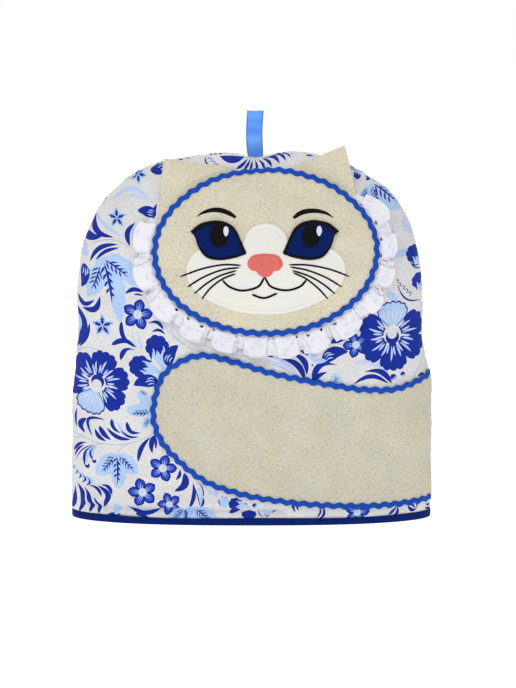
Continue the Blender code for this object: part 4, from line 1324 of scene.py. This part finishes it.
def oval_point(degrees, beyond=0.0):
    """A point beyond the head's oval by that much, in x and z."""
    angle = np.radians(degrees)
    normal = pairs(np.cos(angle) / HEAD_HALF_WIDTH, np.sin(angle) / HEAD_HALF_HEIGHT)
    normal /= np.linalg.norm(normal, axis=-1, keepdims=True)
    x, z = HEAD_X + HEAD_HALF_WIDTH * np.cos(angle), HEAD_Z + HEAD_HALF_HEIGHT * np.sin(angle)
    return pairs(x, z) + normal * np.asarray(beyond)[..., None]


HEAD_EDGE = drawn(oval_point(np.linspace(0, 360, 240, endpoint=False)))
RIM_FROM, RIM_TO = 0.022, 0.01  # the rim rises between these distances from the edge


def head_lift(flat, to_rim):
    rise = LAYERS["head_rim"][1] - LAYERS["head"][1]
    turn = np.arctan2(flat[:, 1] - HEAD_EDGE[:, 1].mean(), flat[:, 0] - HEAD_X)
    pucker = 0.00022 * np.sin(turn * 58 + 2 * np.sin(turn * 7)) * np.exp(-to_rim / 0.007)
    return LAYERS["head"][1] + rise * (1 - smooth((to_rim - RIM_TO) / (RIM_FROM - RIM_TO))) + pucker


head, head_area = applique("head_linen", HEAD_EDGE, head_lift, 0.0012, LINEN)
finish(head, "linen", "head")
print("the head's cloth:", round(head_area, 4), "square metres")

# %% The muzzle's outline
MUZZLE_X = 0.0141
MUZZLE_HALF = [  # out from its middle and up, from the bridge round the cheek to the chin
    (0, 0.2919), (0.0098, 0.2896), (0.0174, 0.2833), (0.0212, 0.2749), (0.0259, 0.2683),
    (0.0373, 0.2664), (0.0516, 0.2694), (0.064, 0.2666), (0.0726, 0.2581), (0.0753, 0.2488),
    (0.0735, 0.2375), (0.0649, 0.2268), (0.0497, 0.217), (0.0326, 0.2105), (0.0164, 0.207),
    (0, 0.206),
]
muzzle_half = np.array(MUZZLE_HALF)
muzzle_points = np.concatenate([muzzle_half[:-1], muzzle_half[:0:-1] * [-1, 1]])
MUZZLE_EDGE = drawn(curve_through([*muzzle_points, muzzle_points[0]], 8)[:-1] + [MUZZLE_X, 0])


MUZZLE_SEAM = 0.0044  # the seam runs this far inside the rim


def muzzle_lift(flat, to_rim):
    """Flat, with a furrow along the seam and a border that bulges outside it."""
    border = 0.0003 * np.sin(math.pi * np.clip(to_rim / MUZZLE_SEAM, 0, 1))
    return LAYERS["muzzle"][1] + border - 0.00035 * np.exp(-(((to_rim - MUZZLE_SEAM) / 0.00045) ** 2))


muzzle, muzzle_area = applique(
    "muzzle_cotton", MUZZLE_EDGE, muzzle_lift, 0.0008, WHITE, 0.0026, 0.0004,
    [MUZZLE_SEAM + step for step in (-0.0012, -0.0006, 0, 0.0006)],
)
finish(muzzle, "white_cloth", "muzzle")


def face_lift(flat):
    """The height of the cloth that embroidery lies on: the muzzle's where there is muzzle."""
    away = to_line(flat, MUZZLE_EDGE) * np.where(winding(MUZZLE_EDGE, flat) != 0, 1, -1)
    low, high = LAYERS["head"][1], LAYERS["muzzle"][1]
    return low + (high - low) * smooth((away + 0.0008) / 0.0012)


# %% [markdown]
# ## Ears
# Each ear is a triangle that starts under the head's rim and runs straight to its tip, so it stands
# clear of the cosy as the cosy rounds away behind it. A turned and pressed corner is never sharp, so
# the tips are slightly blunt, and the edges are a little thicker than the cloth.

# %% The ears
EARS = {"left": (-0.0835, 0.35, 0.029, 157.5, 105), "right": (0.0893, 0.3625, 0.026, 75, 37.5)}
EAR_TUCK, EAR_HELD, EAR_BLUNT = 0.006, 0.005, 0.985
EAR_THINNER, EAR_HEM = 0.0002, 0.0003  # thinner than its layer, thicker again at its turned edge


def front_y(points):
    """How far forward the front's face is behind these points, and 0 past its outline."""
    x, z = points[:, 0], points[:, 2]
    flat = flat_at(x, z)
    inside = share_at(*flat.T) < 0.995
    return np.where(inside, on_cloth(flat, 0)[:, 1], 0)


def ear(side):
    tip_x, tip_z, tip_depth, start, end = EARS[side]
    low, high = LAYERS["under_rim"]
    degrees = np.linspace(start, end, 41)
    held = [oval_point(degrees, beyond) for beyond in (-EAR_TUCK, -EAR_TUCK / 2, 0, EAR_HELD)]
    backs = [on_cloth(drawn(row), low) for row in held]
    tops = [on_cloth(drawn(row), high - EAR_THINNER) for row in held]
    flat = drawn(held[-1])
    normal = outward("front", *flat.T)
    across = np.linspace(-1, 1, len(degrees))
    shares = np.linspace(0, EAR_BLUNT, 26)[1:]
    for share in shares:
        row = backs[3] + share * (np.array([tip_x, -tip_depth, tip_z]) - backs[3])
        row[:, 1] = np.minimum(row[:, 1], front_y(row) - low)
        hem = np.exp(-(((1 - np.abs(across)) * (1 - share) / 0.05) ** 2)) * EAR_HEM
        sag = 0.0009 * np.sin(math.pi * share) * np.cos(1.5 * across)
        sag = sag + 0.0004 * np.sin(7 * share + 3 * across)
        backs.append(row + normal * sag[:, None])
        tops.append(row + normal * (sag + high - low - EAR_THINNER + hem)[:, None])
    top = np.array(tops)
    points, faces = grid_sheet(top, np.array(backs))
    rows = [*held, *(held[-1] + share * (np.array([tip_x, tip_z]) - held[-1]) for share in shares)]
    flat = np.concatenate([rows, rows]).reshape(-1, 2)
    piece = mended(build(f"ear_{side}_linen", points, faces, [LINEN], flat=flat))
    across_run, up_run = top[:-1, 1:] - top[:-1, :-1], top[1:, :-1] - top[:-1, :-1]
    area = float(np.linalg.norm(np.cross(across_run, up_run), axis=-1).sum())
    finish(piece, "linen", f"ear_{side}")


for ear_side in EARS:
    ear(ear_side)

# %% [markdown]
# ## Embroidery
# Every drawn line of the face is satin stitch: a raised band of threads that swells and tapers. One
# helper sweeps a low arch along a line, and a second one pads out an area. Bands of one colour are
# joined into one piece.


# %% Bands and areas of stitches
def embroidered(name, parts, material, slot):
    """One piece of several bands and areas of stitches."""
    faces, start = [], 0
    for points, part_faces, _ in parts:
        faces += [tuple(corner + start for corner in face) for face in part_faces]
        start += len(points)
    points, flat = (np.concatenate([part[index] for part in parts]) for index in (0, 2))
    return finish(mended(build(name, points, faces, [material], flat=flat)), slot)


ARCH = [(-1, 0.0), (-0.85, 0.55), (-0.5, 0.9), (0, 1.0), (0.5, 0.9), (0.85, 0.55), (1, 0.0)]
SUNK = 0.0002  # the stitches' underside goes this deep into the cloth


def arched(left, right, height, lift_at, closed=False):
    """A raised band between two lines on the flat cloth: points, faces and thread coordinates."""
    middle = (left + right) / 2
    far = length_along(middle)
    rings, flats = [], []
    for share, rise in ARCH:
        flat = middle + (right - left) / 2 * share
        rings.append(on_cloth(flat, lift_at(flat) + height * rise - (SUNK if rise == 0 else 0)))
        flats.append(pairs(far, share * np.linalg.norm(right - left, axis=1) / 2))
    rings = np.array(rings).transpose(1, 0, 2)
    count, sides = rings.shape[:2]
    faces = []
    for i in range(count if closed else count - 1):
        a, b = i * sides, (i + 1) % count * sides
        faces += [(a + j, a + (j + 1) % sides, b + (j + 1) % sides, b + j) for j in range(sides)]
    if not closed:
        faces += [tuple(range(sides))[::-1], tuple(range((count - 1) * sides, count * sides))]
    return rings.reshape(-1, 3), faces, np.array(flats).transpose(1, 0, 2).reshape(-1, 2)


def padded_area(outline, height, lift_at, spacing=0.0016, edge=0.0016):
    """Stitches that fill an outline on the flat cloth, domed towards the middle."""
    rings = [("bare", inset(outline, step)) for step in (0.0004, 0.0009)]
    flat, triangles, _ = cut_flat(outline, rings, spacing=spacing)
    low, dome = lift_at(flat), smooth(to_line(flat, outline) / edge)
    top = on_cloth(flat, low + height * (0.25 + 0.75 * dome))
    points, faces = closed_sheet(top, on_cloth(flat, low - SUNK), triangles)
    return points, faces, np.concatenate([flat, flat])


def ellipse(x, z, half_x, half_z, pointed=0.0, steps=40):
    """An oval in x and z; pointed draws its lower end to a point."""
    angle = np.linspace(0, 2 * math.pi, steps, endpoint=False)
    narrow = 1 - pointed * np.clip(-np.sin(angle), 0, 1)
    return drawn(pairs(x + half_x * np.cos(angle) * narrow, z + half_z * np.sin(angle)))


# %% The eyes
FACE_X, EYE_Z = 0.0129, 0.2767
EYE_OUTER = [  # the upper lid, then the lower one: out from the face's middle and up
    [(0.0705, 0.0066), (0.0617, 0.0138), (0.0533, 0.0164), (0.045, 0.0173), (0.0352, 0.0151),
     (0.0277, 0.0094), (0.0219, -0.002), (0.0166, -0.0138)],
    [(0.0166, -0.0138), (0.02, -0.0146), (0.0269, -0.017), (0.0418, -0.0195), (0.0549, -0.017),
     (0.0624, -0.008), (0.0662, 0.0028), (0.0705, 0.0066)],
]
EYE_INNER = [
    [(0.0652, 0.0056), (0.0566, 0.0112), (0.0467, 0.0126), (0.0368, 0.0114), (0.0293, 0.0058),
     (0.0246, -0.0036), (0.0207, -0.0128)],
    [(0.0207, -0.0128), (0.0301, -0.0148), (0.0426, -0.0169), (0.0533, -0.0148), (0.0599, -0.0087),
     (0.064, -0.0005), (0.0652, 0.0056)],
]
EYE_MIDDLE = (0.045, 0.001)
PUPILS = {"left": (-0.03, 0.2796), "right": (0.0567, 0.2794)}
CATCHLIGHTS = {"left": (-0.0236, 0.2838), "right": (0.0643, 0.2838)}
PUPIL_HALF, CATCHLIGHT_HALF = (0.0088, 0.0108), (0.0026, 0.0047)
EYE_THICK, EYE_TOP = 0.0012, LAYERS["features"][1]


def round_eye(table, mirror):
    """The closed lid line at even turns round the eye's middle."""
    line = np.concatenate([curve_through(lid, 12)[:-1] for lid in table])
    away = line - EYE_MIDDLE
    angle, far = np.unwrap(np.arctan2(away[:, 1], away[:, 0])), np.linalg.norm(away, axis=1)
    order = np.argsort(angle)
    turn = np.linspace(0, 2 * math.pi, 110, endpoint=False)
    reach = np.interp(turn, angle[order], far[order], period=2 * math.pi)
    points = pairs(reach * np.cos(turn), reach * np.sin(turn)) + EYE_MIDDLE
    return drawn(points * [mirror, 1] + [FACE_X, EYE_Z])


def level(height):
    """A lift that is the same everywhere."""
    return lambda flat: height + 0 * flat[:, 0]


black_parts, white_parts = [], []
for side, mirror in (("left", -1), ("right", 1)):
    outer, inner = round_eye(EYE_OUTER, mirror), round_eye(EYE_INNER, mirror)
    flat, triangles, _ = cut_flat(counterclockwise(outer * 0.7 + inner * 0.3), spacing=0.0022)
    low = np.maximum(face_lift(flat), EYE_TOP - EYE_THICK) - 0.0001
    points, faces = closed_sheet(on_cloth(flat, level(EYE_TOP)(flat)), on_cloth(flat, low), triangles)
    eye = build(f"eye_{side}_cotton", points, faces, [NAVY_EYE], flat=np.concatenate([flat, flat]))
    cloth_area(flat, triangles)
    finish(eye, "navy_eye", f"eye_{side}")
    black_parts.append(arched(inner, outer, 0.0007, level(EYE_TOP - 0.0003), closed=True))
    black_parts.append(padded_area(ellipse(*PUPILS[side], *PUPIL_HALF), 0.0004, level(EYE_TOP)))
    light = ellipse(*CATCHLIGHTS[side], *CATCHLIGHT_HALF, 0.35)
    white_parts.append(padded_area(light, 0.0004, level(EYE_TOP + 0.0003), 0.001, 0.001))

# %% Brows, whiskers and mouth
BROW, BROW_HEIGHT = 0.0024, 0.0008  # half its greatest width, and how far it stands out
BROWS = [  # x and z in millimetres, from the thin tail to the thick end
    [(-51.6, 297.6), (-45.6, 301.2), (-37.4, 303.6), (-29.8, 303.6), (-21.6, 301.1), (-14.4, 296.9)],
    [(78.1, 295.8), (72.0, 299.9), (62.9, 302.4), (53.3, 302.4), (46.1, 300.3), (40.3, 296.1)],
]
BROW_SHAPE = [0.1, 0.5, 0.8, 1.0, 1.05, 0.95, 0.55]
WHISKER, MOUTH = 0.0009, 0.00112  # half their widths
WHISKERS = [  # from the nose outwards
    [(-9.3, 252.5), (-26.5, 253.0), (-47.0, 248.9), (-67.7, 241.2)],
    [(-10.9, 250.4), (-26.9, 248.3), (-44.6, 241.5), (-60.9, 231.4)],
    [(-13.5, 247.7), (-29.8, 242.5), (-42.7, 234.8), (-54.6, 224.7)],
    [(-14.6, 244.7), (-27.4, 239.4), (-38.4, 230.9), (-47.3, 219.6)],
    [(35.9, 253.0), (53.8, 252.6), (73.9, 248.5), (93.1, 241.1)],
    [(37.0, 250.9), (52.8, 247.9), (70.6, 240.8), (85.9, 231.4)],
    [(39.1, 247.7), (54.7, 242.3), (68.2, 234.5), (79.7, 224.8)],
    [(39.6, 245.7), (51.8, 239.9), (63.4, 230.7), (72.9, 220.2)],
]
MOUTHS = [
    [(12.9, 241.6), (6.7, 232.5), (-7.7, 228.8), (-19.7, 232.0), (-27.1, 238.5)],
    [(12.9, 241.6), (19.2, 232.5), (33.3, 229.0), (46.1, 232.3), (52.6, 238.9)],
    [(0.9, 225.1), (12.5, 221.8), (25.0, 226.3)],
]


def drawn_band(points, widest, shape=None, height=0.0006):
    """A raised band along a line given in millimetres. Its ends are thinner, or it has a shape."""
    line = drawn(curve_through(np.array(points) * 0.001, 8))
    share = np.linspace(0, 1, len(line))
    if shape is None:
        half = widest * np.minimum(1, 0.45 + 8 * np.minimum(share, 1 - share))
    else:
        half = widest * np.interp(share, np.linspace(0, 1, len(shape)), shape)
    side = sideways(np.gradient(line, axis=0)) * half[:, None]
    return arched(line - side, line + side, height * np.minimum(1, half / half.max() + 0.2), face_lift)


black_parts += [drawn_band(brow, BROW, BROW_SHAPE, BROW_HEIGHT) for brow in BROWS]
black_parts += [drawn_band(whisker, WHISKER) for whisker in WHISKERS]
black_parts += [drawn_band(mouth, MOUTH) for mouth in MOUTHS]
outlines = embroidered("embroidery_black", black_parts, BLACK, "navy_eye")
lights = embroidered("embroidery_white", white_parts, CATCHLIGHT, "white_cloth")

# %% The nose
NOSE_X, NOSE_Z = 0.0134, 0.253
NOSE_EDGE = [
    (0, 0.0106), (0.012, 0.0085), (0.0168, 0.001), (0.0132, -0.005), (0.0086, -0.006),
    (0.0055, -0.0098), (0, -0.012),
]
nose_half = NOSE_EDGE + [(-out, up) for out, up in NOSE_EDGE[-2::-1]]
nose_outline = drawn(curve_through(nose_half, 6)[:-1] + [NOSE_X, NOSE_Z])
points, faces, flat = padded_area(nose_outline, 0.0012, face_lift, 0.0014, 0.0024)
nose = finish(build("nose_stitches", points, faces, [CORAL], flat=flat), "coral_nose", "nose")

# %% [markdown]
# ## The tail
# The tail is one long piece of linen that comes round from the right side seam.

# %% The tail
TAIL_EDGE = [
    (0.195, 0.144), (0.145, 0.1315), (0.112, 0.1318), (0.09, 0.135), (0.026, 0.148),
    (-0.0205, 0.1615), (-0.046, 0.1665), (-0.067, 0.16), (-0.0855, 0.144), (-0.0935, 0.113),
    (-0.089, 0.09), (-0.074, 0.069), (-0.044, 0.044), (-0.009, 0.0315), (0.031, 0.024),
    (0.085, 0.019), (0.14, 0.018), (0.195, 0.021),
]


def even_steps(points, count, closed=False):
    """The same line with count points evenly spaced along it."""
    if closed:
        points = np.concatenate([points, points[:1]])
    far = length_along(points)
    at = np.linspace(0, far[-1], count, endpoint=not closed)
    return pairs(*(np.interp(at, far, column) for column in points.T))


tail_line = curve_through(TAIL_EDGE, 12)
tail_seam = np.linspace(tail_line[-1], tail_line[0], 40)[1:-1]
tail_outline = np.concatenate([even_steps(tail_line, 230), tail_seam])


def tail_lift(flat, to_rim):
    run = flat[:, 0] * 90 + 3 * np.sin(flat[:, 1] * 60)
    return LAYERS["tail"][1] + 0.00022 * np.sin(run * 5) * np.exp(-to_rim / 0.008)


tail, tail_area = applique("tail_linen", tail_outline, tail_lift, 0.0012, SHADED_TAIL_LINEN, 0.0036)
finish(tail, "linen", "tail")

# %% [markdown]
# ## Rickrack
# Rickrack is a flat braid that weaves itself into a zigzag. Its wave comes from the formula that the
# solid uses, and its section is a low lens that thins towards the edges. Round the head it covers the
# linen's rim, and one seam holds braid, linen, ears and lace.

# %% The two braids
BRAID_WIDTH, BRAID_SWING, BRAID_WAVE, BRAID_INSIDE = 0.0054, 0.0009, 0.0114, 0.0005
BRAID_STEPS = 14  # to one wave
BRAID_SECTION = [(-1, 0.3), (-0.8, 0.72), (-0.4, 0.95), (0, 1.0), (0.4, 0.95), (0.8, 0.72), (1, 0.3)]
PLAIT, PLAIT_HEIGHT = 0.0019, 0.00007


def rickrack(name, line, lifts, closed, node):
    ends = np.concatenate([line, line[:1]]) if closed else line
    length = np.linalg.norm(np.diff(ends, axis=0), axis=1).sum()
    waves = round(length / BRAID_WAVE)
    count = waves * BRAID_STEPS + (not closed)
    place = even_steps(line, count, closed)
    run = (np.roll(place, -1, axis=0) - np.roll(place, 1, axis=0)) if closed else np.gradient(place, axis=0)
    side = sideways(run)
    phase = 2 * math.pi * np.arange(count) / BRAID_STEPS
    wavy = place + side * (BRAID_SWING * np.sin(phase) * (1 + 0.06 * np.sin(phase * 0.37)))[:, None]
    low, high = lifts
    top, bottom, flats = [], [], []
    for share, rise in BRAID_SECTION:
        off = share * BRAID_WIDTH / 2
        flat = wavy + side * off
        plait = PLAIT_HEIGHT * np.sin(phase * BRAID_WAVE / PLAIT + 3 * share)
        flatter = 1 - 0.75 * smooth((share_at(*flat.T) - 0.9) / 0.07)
        top.append(on_cloth(flat, (low + (high - low) * rise + plait) * flatter))
        bottom.append(on_cloth(flat, (low + (high - low) * (1 - rise) * 0.25) * flatter))
        flats.append(pairs(np.arange(count) * length / count, off))
    points, faces = grid_sheet(np.array(top), np.array(bottom), closed)
    flat = np.concatenate([flats, flats]).reshape(-1, 2)
    braid = mended(build(name, points, faces, [BRAID], flat=flat))
    print(name, round(length, 3), "m,", waves, "waves")
    return finish(braid, "blue_braid", node)


head_rim = drawn(oval_point(np.linspace(0, 360, 400, endpoint=False), -BRAID_INSIDE))
head_braid = rickrack("rickrack_head", head_rim, LAYERS["head_braid"], True, "rickrack_face")
tail_braid = rickrack("rickrack_on_tail", tail_line, LAYERS["tail_braid"], False, "rickrack_tail")

# %% [markdown]
# ## Gathered lace
# The frill is a strip of cotton lace that is gathered under the head's rim. At the braid it lies flat,
# and its free edge stands in broad pleats that lean over a little. The strip is cut flat, with its
# eyelets cut out of it, and then every point is carried along the pleats.

# %% The strip
LACE_PLEATS = [  # where one pleat ends and the next begins, in degrees round the head
    157.0, 182.6, 202.9, 223.5, 240.7, 256.7, 272.6, 287.7, 302.5, 322.0, 337.4, 354.0, 373.7, 397.0,
]
LACE_TUCK, LACE_HELD = 0.006, 0.0045
LACE_WIDTH_SIDE, LACE_WIDTH_BOTTOM = 0.019, 0.024
LACE_THICK, LACE_LIFT = 0.0004, 0.0044
LACE_END, LACE_END_WIDTH, LACE_END_LEAN = 0.05, 0.5, 4  # share of the strip, of its width, degrees
TUCKED = 0.2  # this share of the strip's width is under the rim
PLEATS = len(LACE_PLEATS) - 1
PLEAT_CLOTH = 0.04  # cloth in one pleat
STRIP_WIDTH = 0.03
EYELET, EYELETS_IN_PLEAT, EYELET_PLACE = 0.0014, 2, 0.27
FOLD_CLOTH = [0, 0.12, 0.2, 0.27, 0.5, 0.73, 0.8, 0.9, 1]  # across one pleat's cloth:
FOLD_ROOT = [0, 0.04, 0.06, 0.09, 0.5, 0.88, 0.93, 0.97, 1]  # how far along it lies
FOLD_EDGE = [0, 0.17, 0.21, 0.17, 0.5, 0.86, 0.82, 0.85, 1]  # and at its free edge
FOLD_HEIGHT = [0.22, 0.3, 0.6, 0.86, 1.0, 0.92, 0.66, 0.34, 0.22]


def lace_place(strip):
    """From the strip's own metres to the pleated lace, in x, z and the height above the face."""
    phase = np.clip(strip[:, 0] / PLEAT_CLOTH, 0, PLEATS)
    pleat = np.minimum(np.floor(phase), PLEATS - 1)
    cloth_share = phase - pleat
    out_all = strip[:, 1] / STRIP_WIDTH
    out = np.clip((out_all - TUCKED) / (1 - TUCKED), 0, 1)
    chance, other = np.sin(pleat * 12.9 + 1.1), np.sin(pleat * 7.3 + 0.4)
    folded = smooth(out * 1.2)
    panel = np.clip((cloth_share - 0.2) / 0.6, 0, 1)
    under = smooth((np.abs(cloth_share - 0.5) - 0.3) / 0.06)
    along = (1 - folded) * np.interp(cloth_share, FOLD_CLOTH, FOLD_ROOT)
    along = along + folded * np.interp(cloth_share, FOLD_CLOTH, FOLD_EDGE)
    along = along + 0.07 * chance * folded * np.sin(math.pi * cloth_share)
    degrees = np.interp(np.clip(pleat + along, 0, PLEATS), range(PLEATS + 1), LACE_PLEATS)
    share = phase / PLEATS
    before_end = smooth((1 - share) / LACE_END) * smooth(share / LACE_END + 0.4)
    below = np.clip(-np.sin(np.radians(degrees)), 0, 1)
    width = LACE_WIDTH_SIDE + (LACE_WIDTH_BOTTOM - LACE_WIDTH_SIDE) * below
    rounded = 1 - 0.22 * np.abs(2 * panel - 1 + 0.3 * other) ** 2.3 + 0.04 * under
    width = width * rounded * (1 + 0.07 * other) * (LACE_END_WIDTH + (1 - LACE_END_WIDTH) * before_end)
    beyond = np.where(out_all < TUCKED, -LACE_TUCK * (1 - out_all / TUCKED), out * width)
    held = smooth((beyond - 0.001) / LACE_HELD)
    lean = held * out * (1.2 * other * np.sin(math.pi * panel) + LACE_END_LEAN * (1 - before_end))
    height = np.interp(cloth_share, FOLD_CLOTH, FOLD_HEIGHT) * (1 + 0.22 * chance)
    roof = 0.0016 * (1 - np.abs(2 * panel - 1 + 0.35 * other)) * out * (1 - under)
    ripple = 0.00035 * out * np.sin(phase * 19 + 5 * out + chance)
    lift = held * (0.0004 + LACE_LIFT * height * (0.14 + 0.86 * out) + roof + ripple)
    return oval_point(degrees + lean, beyond), lift


def ruffle():
    length = PLEATS * PLEAT_CLOTH
    edge_u = np.linspace(0, length, PLEATS * 40 + 1)
    outer, *inside = (pairs(edge_u, STRIP_WIDTH - step) for step in (0, 0.0006, 0.0014, 0.0022))
    outline = np.concatenate([outer * [1, 0], outer[::-1]])
    holes = []
    for index in range(PLEATS * EYELETS_IN_PLEAT):
        u = (index + 0.5 + 0.22 * math.sin(2.4 * index)) * PLEAT_CLOTH / EYELETS_IN_PLEAT
        holes.append(disc(u, STRIP_WIDTH * (TUCKED + (1 - TUCKED) * EYELET_PLACE), EYELET, 10))
    rims = [("bare", disc(*hole.mean(0), EYELET * grow, 12)) for hole in holes for grow in (1.35, 1.8)]
    rims += [("bare", row) for row in inside]
    flat, triangles, _ = cut_flat(outline, rims, holes, spacing=0.0016)
    to_hole = np.min([np.linalg.norm(flat - hole.mean(0), axis=1) for hole in holes], axis=0)
    worked = 0.00045 * np.exp(-(((to_hole - EYELET * 1.35) / 0.0005) ** 2))
    hem = 0.0005 * np.exp(-(((STRIP_WIDTH - flat[:, 1]) / 0.0018) ** 4))
    place, lift = lace_place(flat)
    seat = LAYERS["under_rim"][0]
    top = on_cloth(drawn(place), seat + lift + LACE_THICK + worked + hem)
    bottom = on_cloth(drawn(place), seat + lift - hem * 0.5)
    points, faces = closed_sheet(top, bottom, triangles)
    piece = mended(build("lace_frill", points, faces, [LACE], flat=np.concatenate([flat, flat])))
    finish(piece, "lace", "ruffle")


ruffle()

# %% [markdown]
# ## Hem binding and ribbon
# A strip of navy cotton is folded round the bottom edges of both panels and stitched through. The
# ribbon is folded double, and both its ends are caught in the top seam.

# %% The binding
BINDING, BINDING_RECESS, BINDING_ROUNDING = 0.0012, 0.0004, 0.0012
HEM_STEPS = 210  # along each panel


def hem_line():
    """Round the hem on the flat cloth of the front, then of the back: place and outward direction."""
    across = np.sin(np.linspace(-math.pi / 2, math.pi / 2, HEM_STEPS))
    u = across * half_width(across, 0 * across) * CUT
    front = cloth("front", u, 0 * u), outward("front", u, 0 * u)
    back = cloth("back", u, 0 * u), outward("back", u, 0 * u)
    return (np.concatenate([f, b[-2:0:-1]]) for f, b in zip(front, back))


def binding():
    line, normal = hem_line()
    far = length_along(line)
    outer, inner = -BINDING_RECESS, HEM_FACE - HEM_PAD - GAP - BINDING
    turn, rounding = np.radians(np.linspace(0, 90, 5)), BINDING_ROUNDING
    profile = [(outer, BINDING_HEIGHT), (outer, 0.0058), (outer, 0.004)]
    profile += [(outer - rounding + rounding * math.cos(a), rounding - rounding * math.sin(a)) for a in turn]
    profile += [(inner + rounding - rounding * math.sin(a), rounding - rounding * math.cos(a)) for a in turn]
    profile += [(inner, 0.004), (inner, BINDING_HEIGHT)]
    widths = length_along(np.array(profile))
    thick = BINDING * 0.8
    top, bottom, flats = [], [], []
    for (out, height), width in zip(profile, widths):
        sign = 1 if out > (outer + inner) / 2 else -1
        crinkle = 0.00012 * np.sin(far * 520 + 2 * np.sin(far * 90)) * smooth((height - 0.001) / 0.003)
        wave = 0.0004 * np.sin(far * 38) * smooth((height - 0.003) / 0.004)
        shift = out + (crinkle - 0.0002 * (height > 0.0065)) * sign
        up = thick if height < 0.002 else 0.0
        for rows, inwards, higher in ((top, 0.0, 0.0), (bottom, -thick * sign, up)):
            rise = np.stack([0 * far, 0 * far, height + higher + wave], 1)
            rows.append(line + normal * (shift + inwards)[:, None] + rise)
        flats.append(pairs(far, width))
    points, faces = grid_sheet(np.array(top), np.array(bottom), round_columns=True)
    flat = np.concatenate([flats, flats]).reshape(-1, 2)
    piece = mended(build("binding_strip", points, faces, [NAVY], flat=flat))
    finish(piece, "navy_binding", "hem_binding")


binding()

# %% The ribbon
LOOP_X, LOOP_HALF_WIDTH, LOOP_TOP, LOOP_BOW, LOOP_LEAN = 0.0043, 0.0079, 0.394, 0.0042, 0.0012
LOOP_ROUTE = [(0.18, 0), (0.3, 0.1), (0.75, 0.3), (1, 0.55), (0.85, 0.8), (0.45, 0.96)]
RIBBON = 0.0007


def top_seam(x):
    """The height of the top seam's groove."""
    share = abs(x) / float(half_width(np.array(x), SHOULDER))
    rounding = (1 - share**SQUARENESS) ** (1 / SQUARENESS)
    flat = flat_at(np.array([x]), np.array([SHOULDER + RISE * rounding]))
    return float((cloth("front", *flat.T) + outward("front", *flat.T) * -SEAM_GROOVE)[0, 2])


def ribbon_loop():
    tops, bottoms, flats = [], [], []
    for share in np.linspace(-1, 1, 13):
        edge = share * LOOP_HALF_WIDTH
        foot = top_seam(LOOP_X + edge) + 2 * GAP
        rise = LOOP_TOP - foot
        up = [(bow * LOOP_BOW, foot + way * rise) for bow, way in LOOP_ROUTE]
        down = [(-out, height) for out, height in up[::-1]]
        line = curve_through([*up, (0, LOOP_TOP), *down], 8)
        far, normal = length_along(line), sideways(np.gradient(line, axis=0))
        way = np.clip((line[:, 1] - foot) / rise, 0, 1)
        lean = LOOP_LEAN * np.sin(math.pi * way)
        gather = 1 - 0.07 * np.exp(-way / 0.1)
        curl = 0.0004 * share**2 * np.sin(math.pi * way) + 0.00012 * np.sin(share * 9 + way * 14)
        x = LOOP_X + edge * gather - lean
        for rows, out in ((tops, RIBBON / 2), (bottoms, -RIBBON / 2)):
            path = line + normal * (curl + out * (0.8 if abs(share) < 0.99 else 1.1))[:, None]
            rows.append(np.stack([x, -path[:, 0], path[:, 1]], axis=1))
        flats.append(pairs(far, edge))
    points, faces = grid_sheet(np.array(tops), np.array(bottoms))
    flat = np.concatenate([flats, flats]).reshape(-1, 2)
    piece = mended(build("satin_loop", points, faces, [SATIN], flat=flat))
    finish(piece, "ribbon", "hang_loop")


ribbon_loop()

# %% [markdown]
# ## Floor, light and camera
# The cosy stands on white paper under soft light, seen a little from above through a long lens.


# %% The floor
PAPER_GLOW, ROOM_LIGHT = 0.63, 0.4


def floor():
    material = bpy.data.materials.new("white paper")
    material.use_nodes = True
    shader = material.node_tree.nodes["Principled BSDF"]
    shader.inputs["Base Color"].default_value = tone(250, 250, 250)
    shader.inputs["Roughness"].default_value = 0.95
    shader.inputs["Emission Color"].default_value = (1, 1, 1, 1)
    shader.inputs["Emission Strength"].default_value = PAPER_GLOW
    mesh = bpy.data.meshes.new("floor")
    mesh.from_pydata([(-30, -30, 0), (30, -30, 0), (30, 30, 0), (-30, 30, 0)], [], [(0, 1, 2, 3)])
    mesh.materials.append(material)
    paper = bpy.data.objects.new("floor", mesh)
    bpy.context.scene.collection.objects.link(paper)


floor()


# %% Lights
def area_light(name, at, towards, size, power):
    data = bpy.data.lights.new(name, "AREA")
    data.shape = "SQUARE"
    data.size = size
    data.energy = power
    lamp = bpy.data.objects.new(name, data)
    lamp.location = at
    lamp.rotation_euler = (Vector(towards) - Vector(at)).to_track_quat("-Z", "Y").to_euler()
    bpy.context.scene.collection.objects.link(lamp)


area_light("key light", (-1.2, -1.5, 2.1), (0, 0, 0.17), 1.1, 30)
area_light("fill light", (1.8, -1.5, 1.1), (0, 0, 0.17), 1.6, 11)
area_light("top light", (0.1, 0.7, 2.2), (0, 0, 0.2), 1.4, 15)
area_light("back light", (0.6, 2.0, 1.4), (0, 0, 0.17), 1.4, 14)
world = bpy.data.worlds.new("studio")
bpy.context.scene.world = world
world.use_nodes = True
room = world.node_tree.nodes["Background"].inputs
room["Color"].default_value = (1, 1, 1, 1)
room["Strength"].default_value = ROOM_LIGHT
bpy.context.scene.view_settings.view_transform = "Standard"

# %% Camera
FRAME_HEIGHT = 688  # the photo's, in pixels
DISTANCE = 4.0
TARGET = Vector((0.0067, -0.03, 0.1722))
camera = bpy.data.cameras.new("camera")
camera.lens = camera.sensor_width * DISTANCE / (FRAME_HEIGHT * PIXEL)
viewer = bpy.data.objects.new("camera", camera)
viewer.location = TARGET + DISTANCE * Vector((0, -math.cos(SEEN_FROM), math.sin(SEEN_FROM)))
viewer.rotation_euler = (TARGET - viewer.location).to_track_quat("-Z", "Y").to_euler()
bpy.context.scene.collection.objects.link(viewer)
bpy.context.scene.camera = viewer
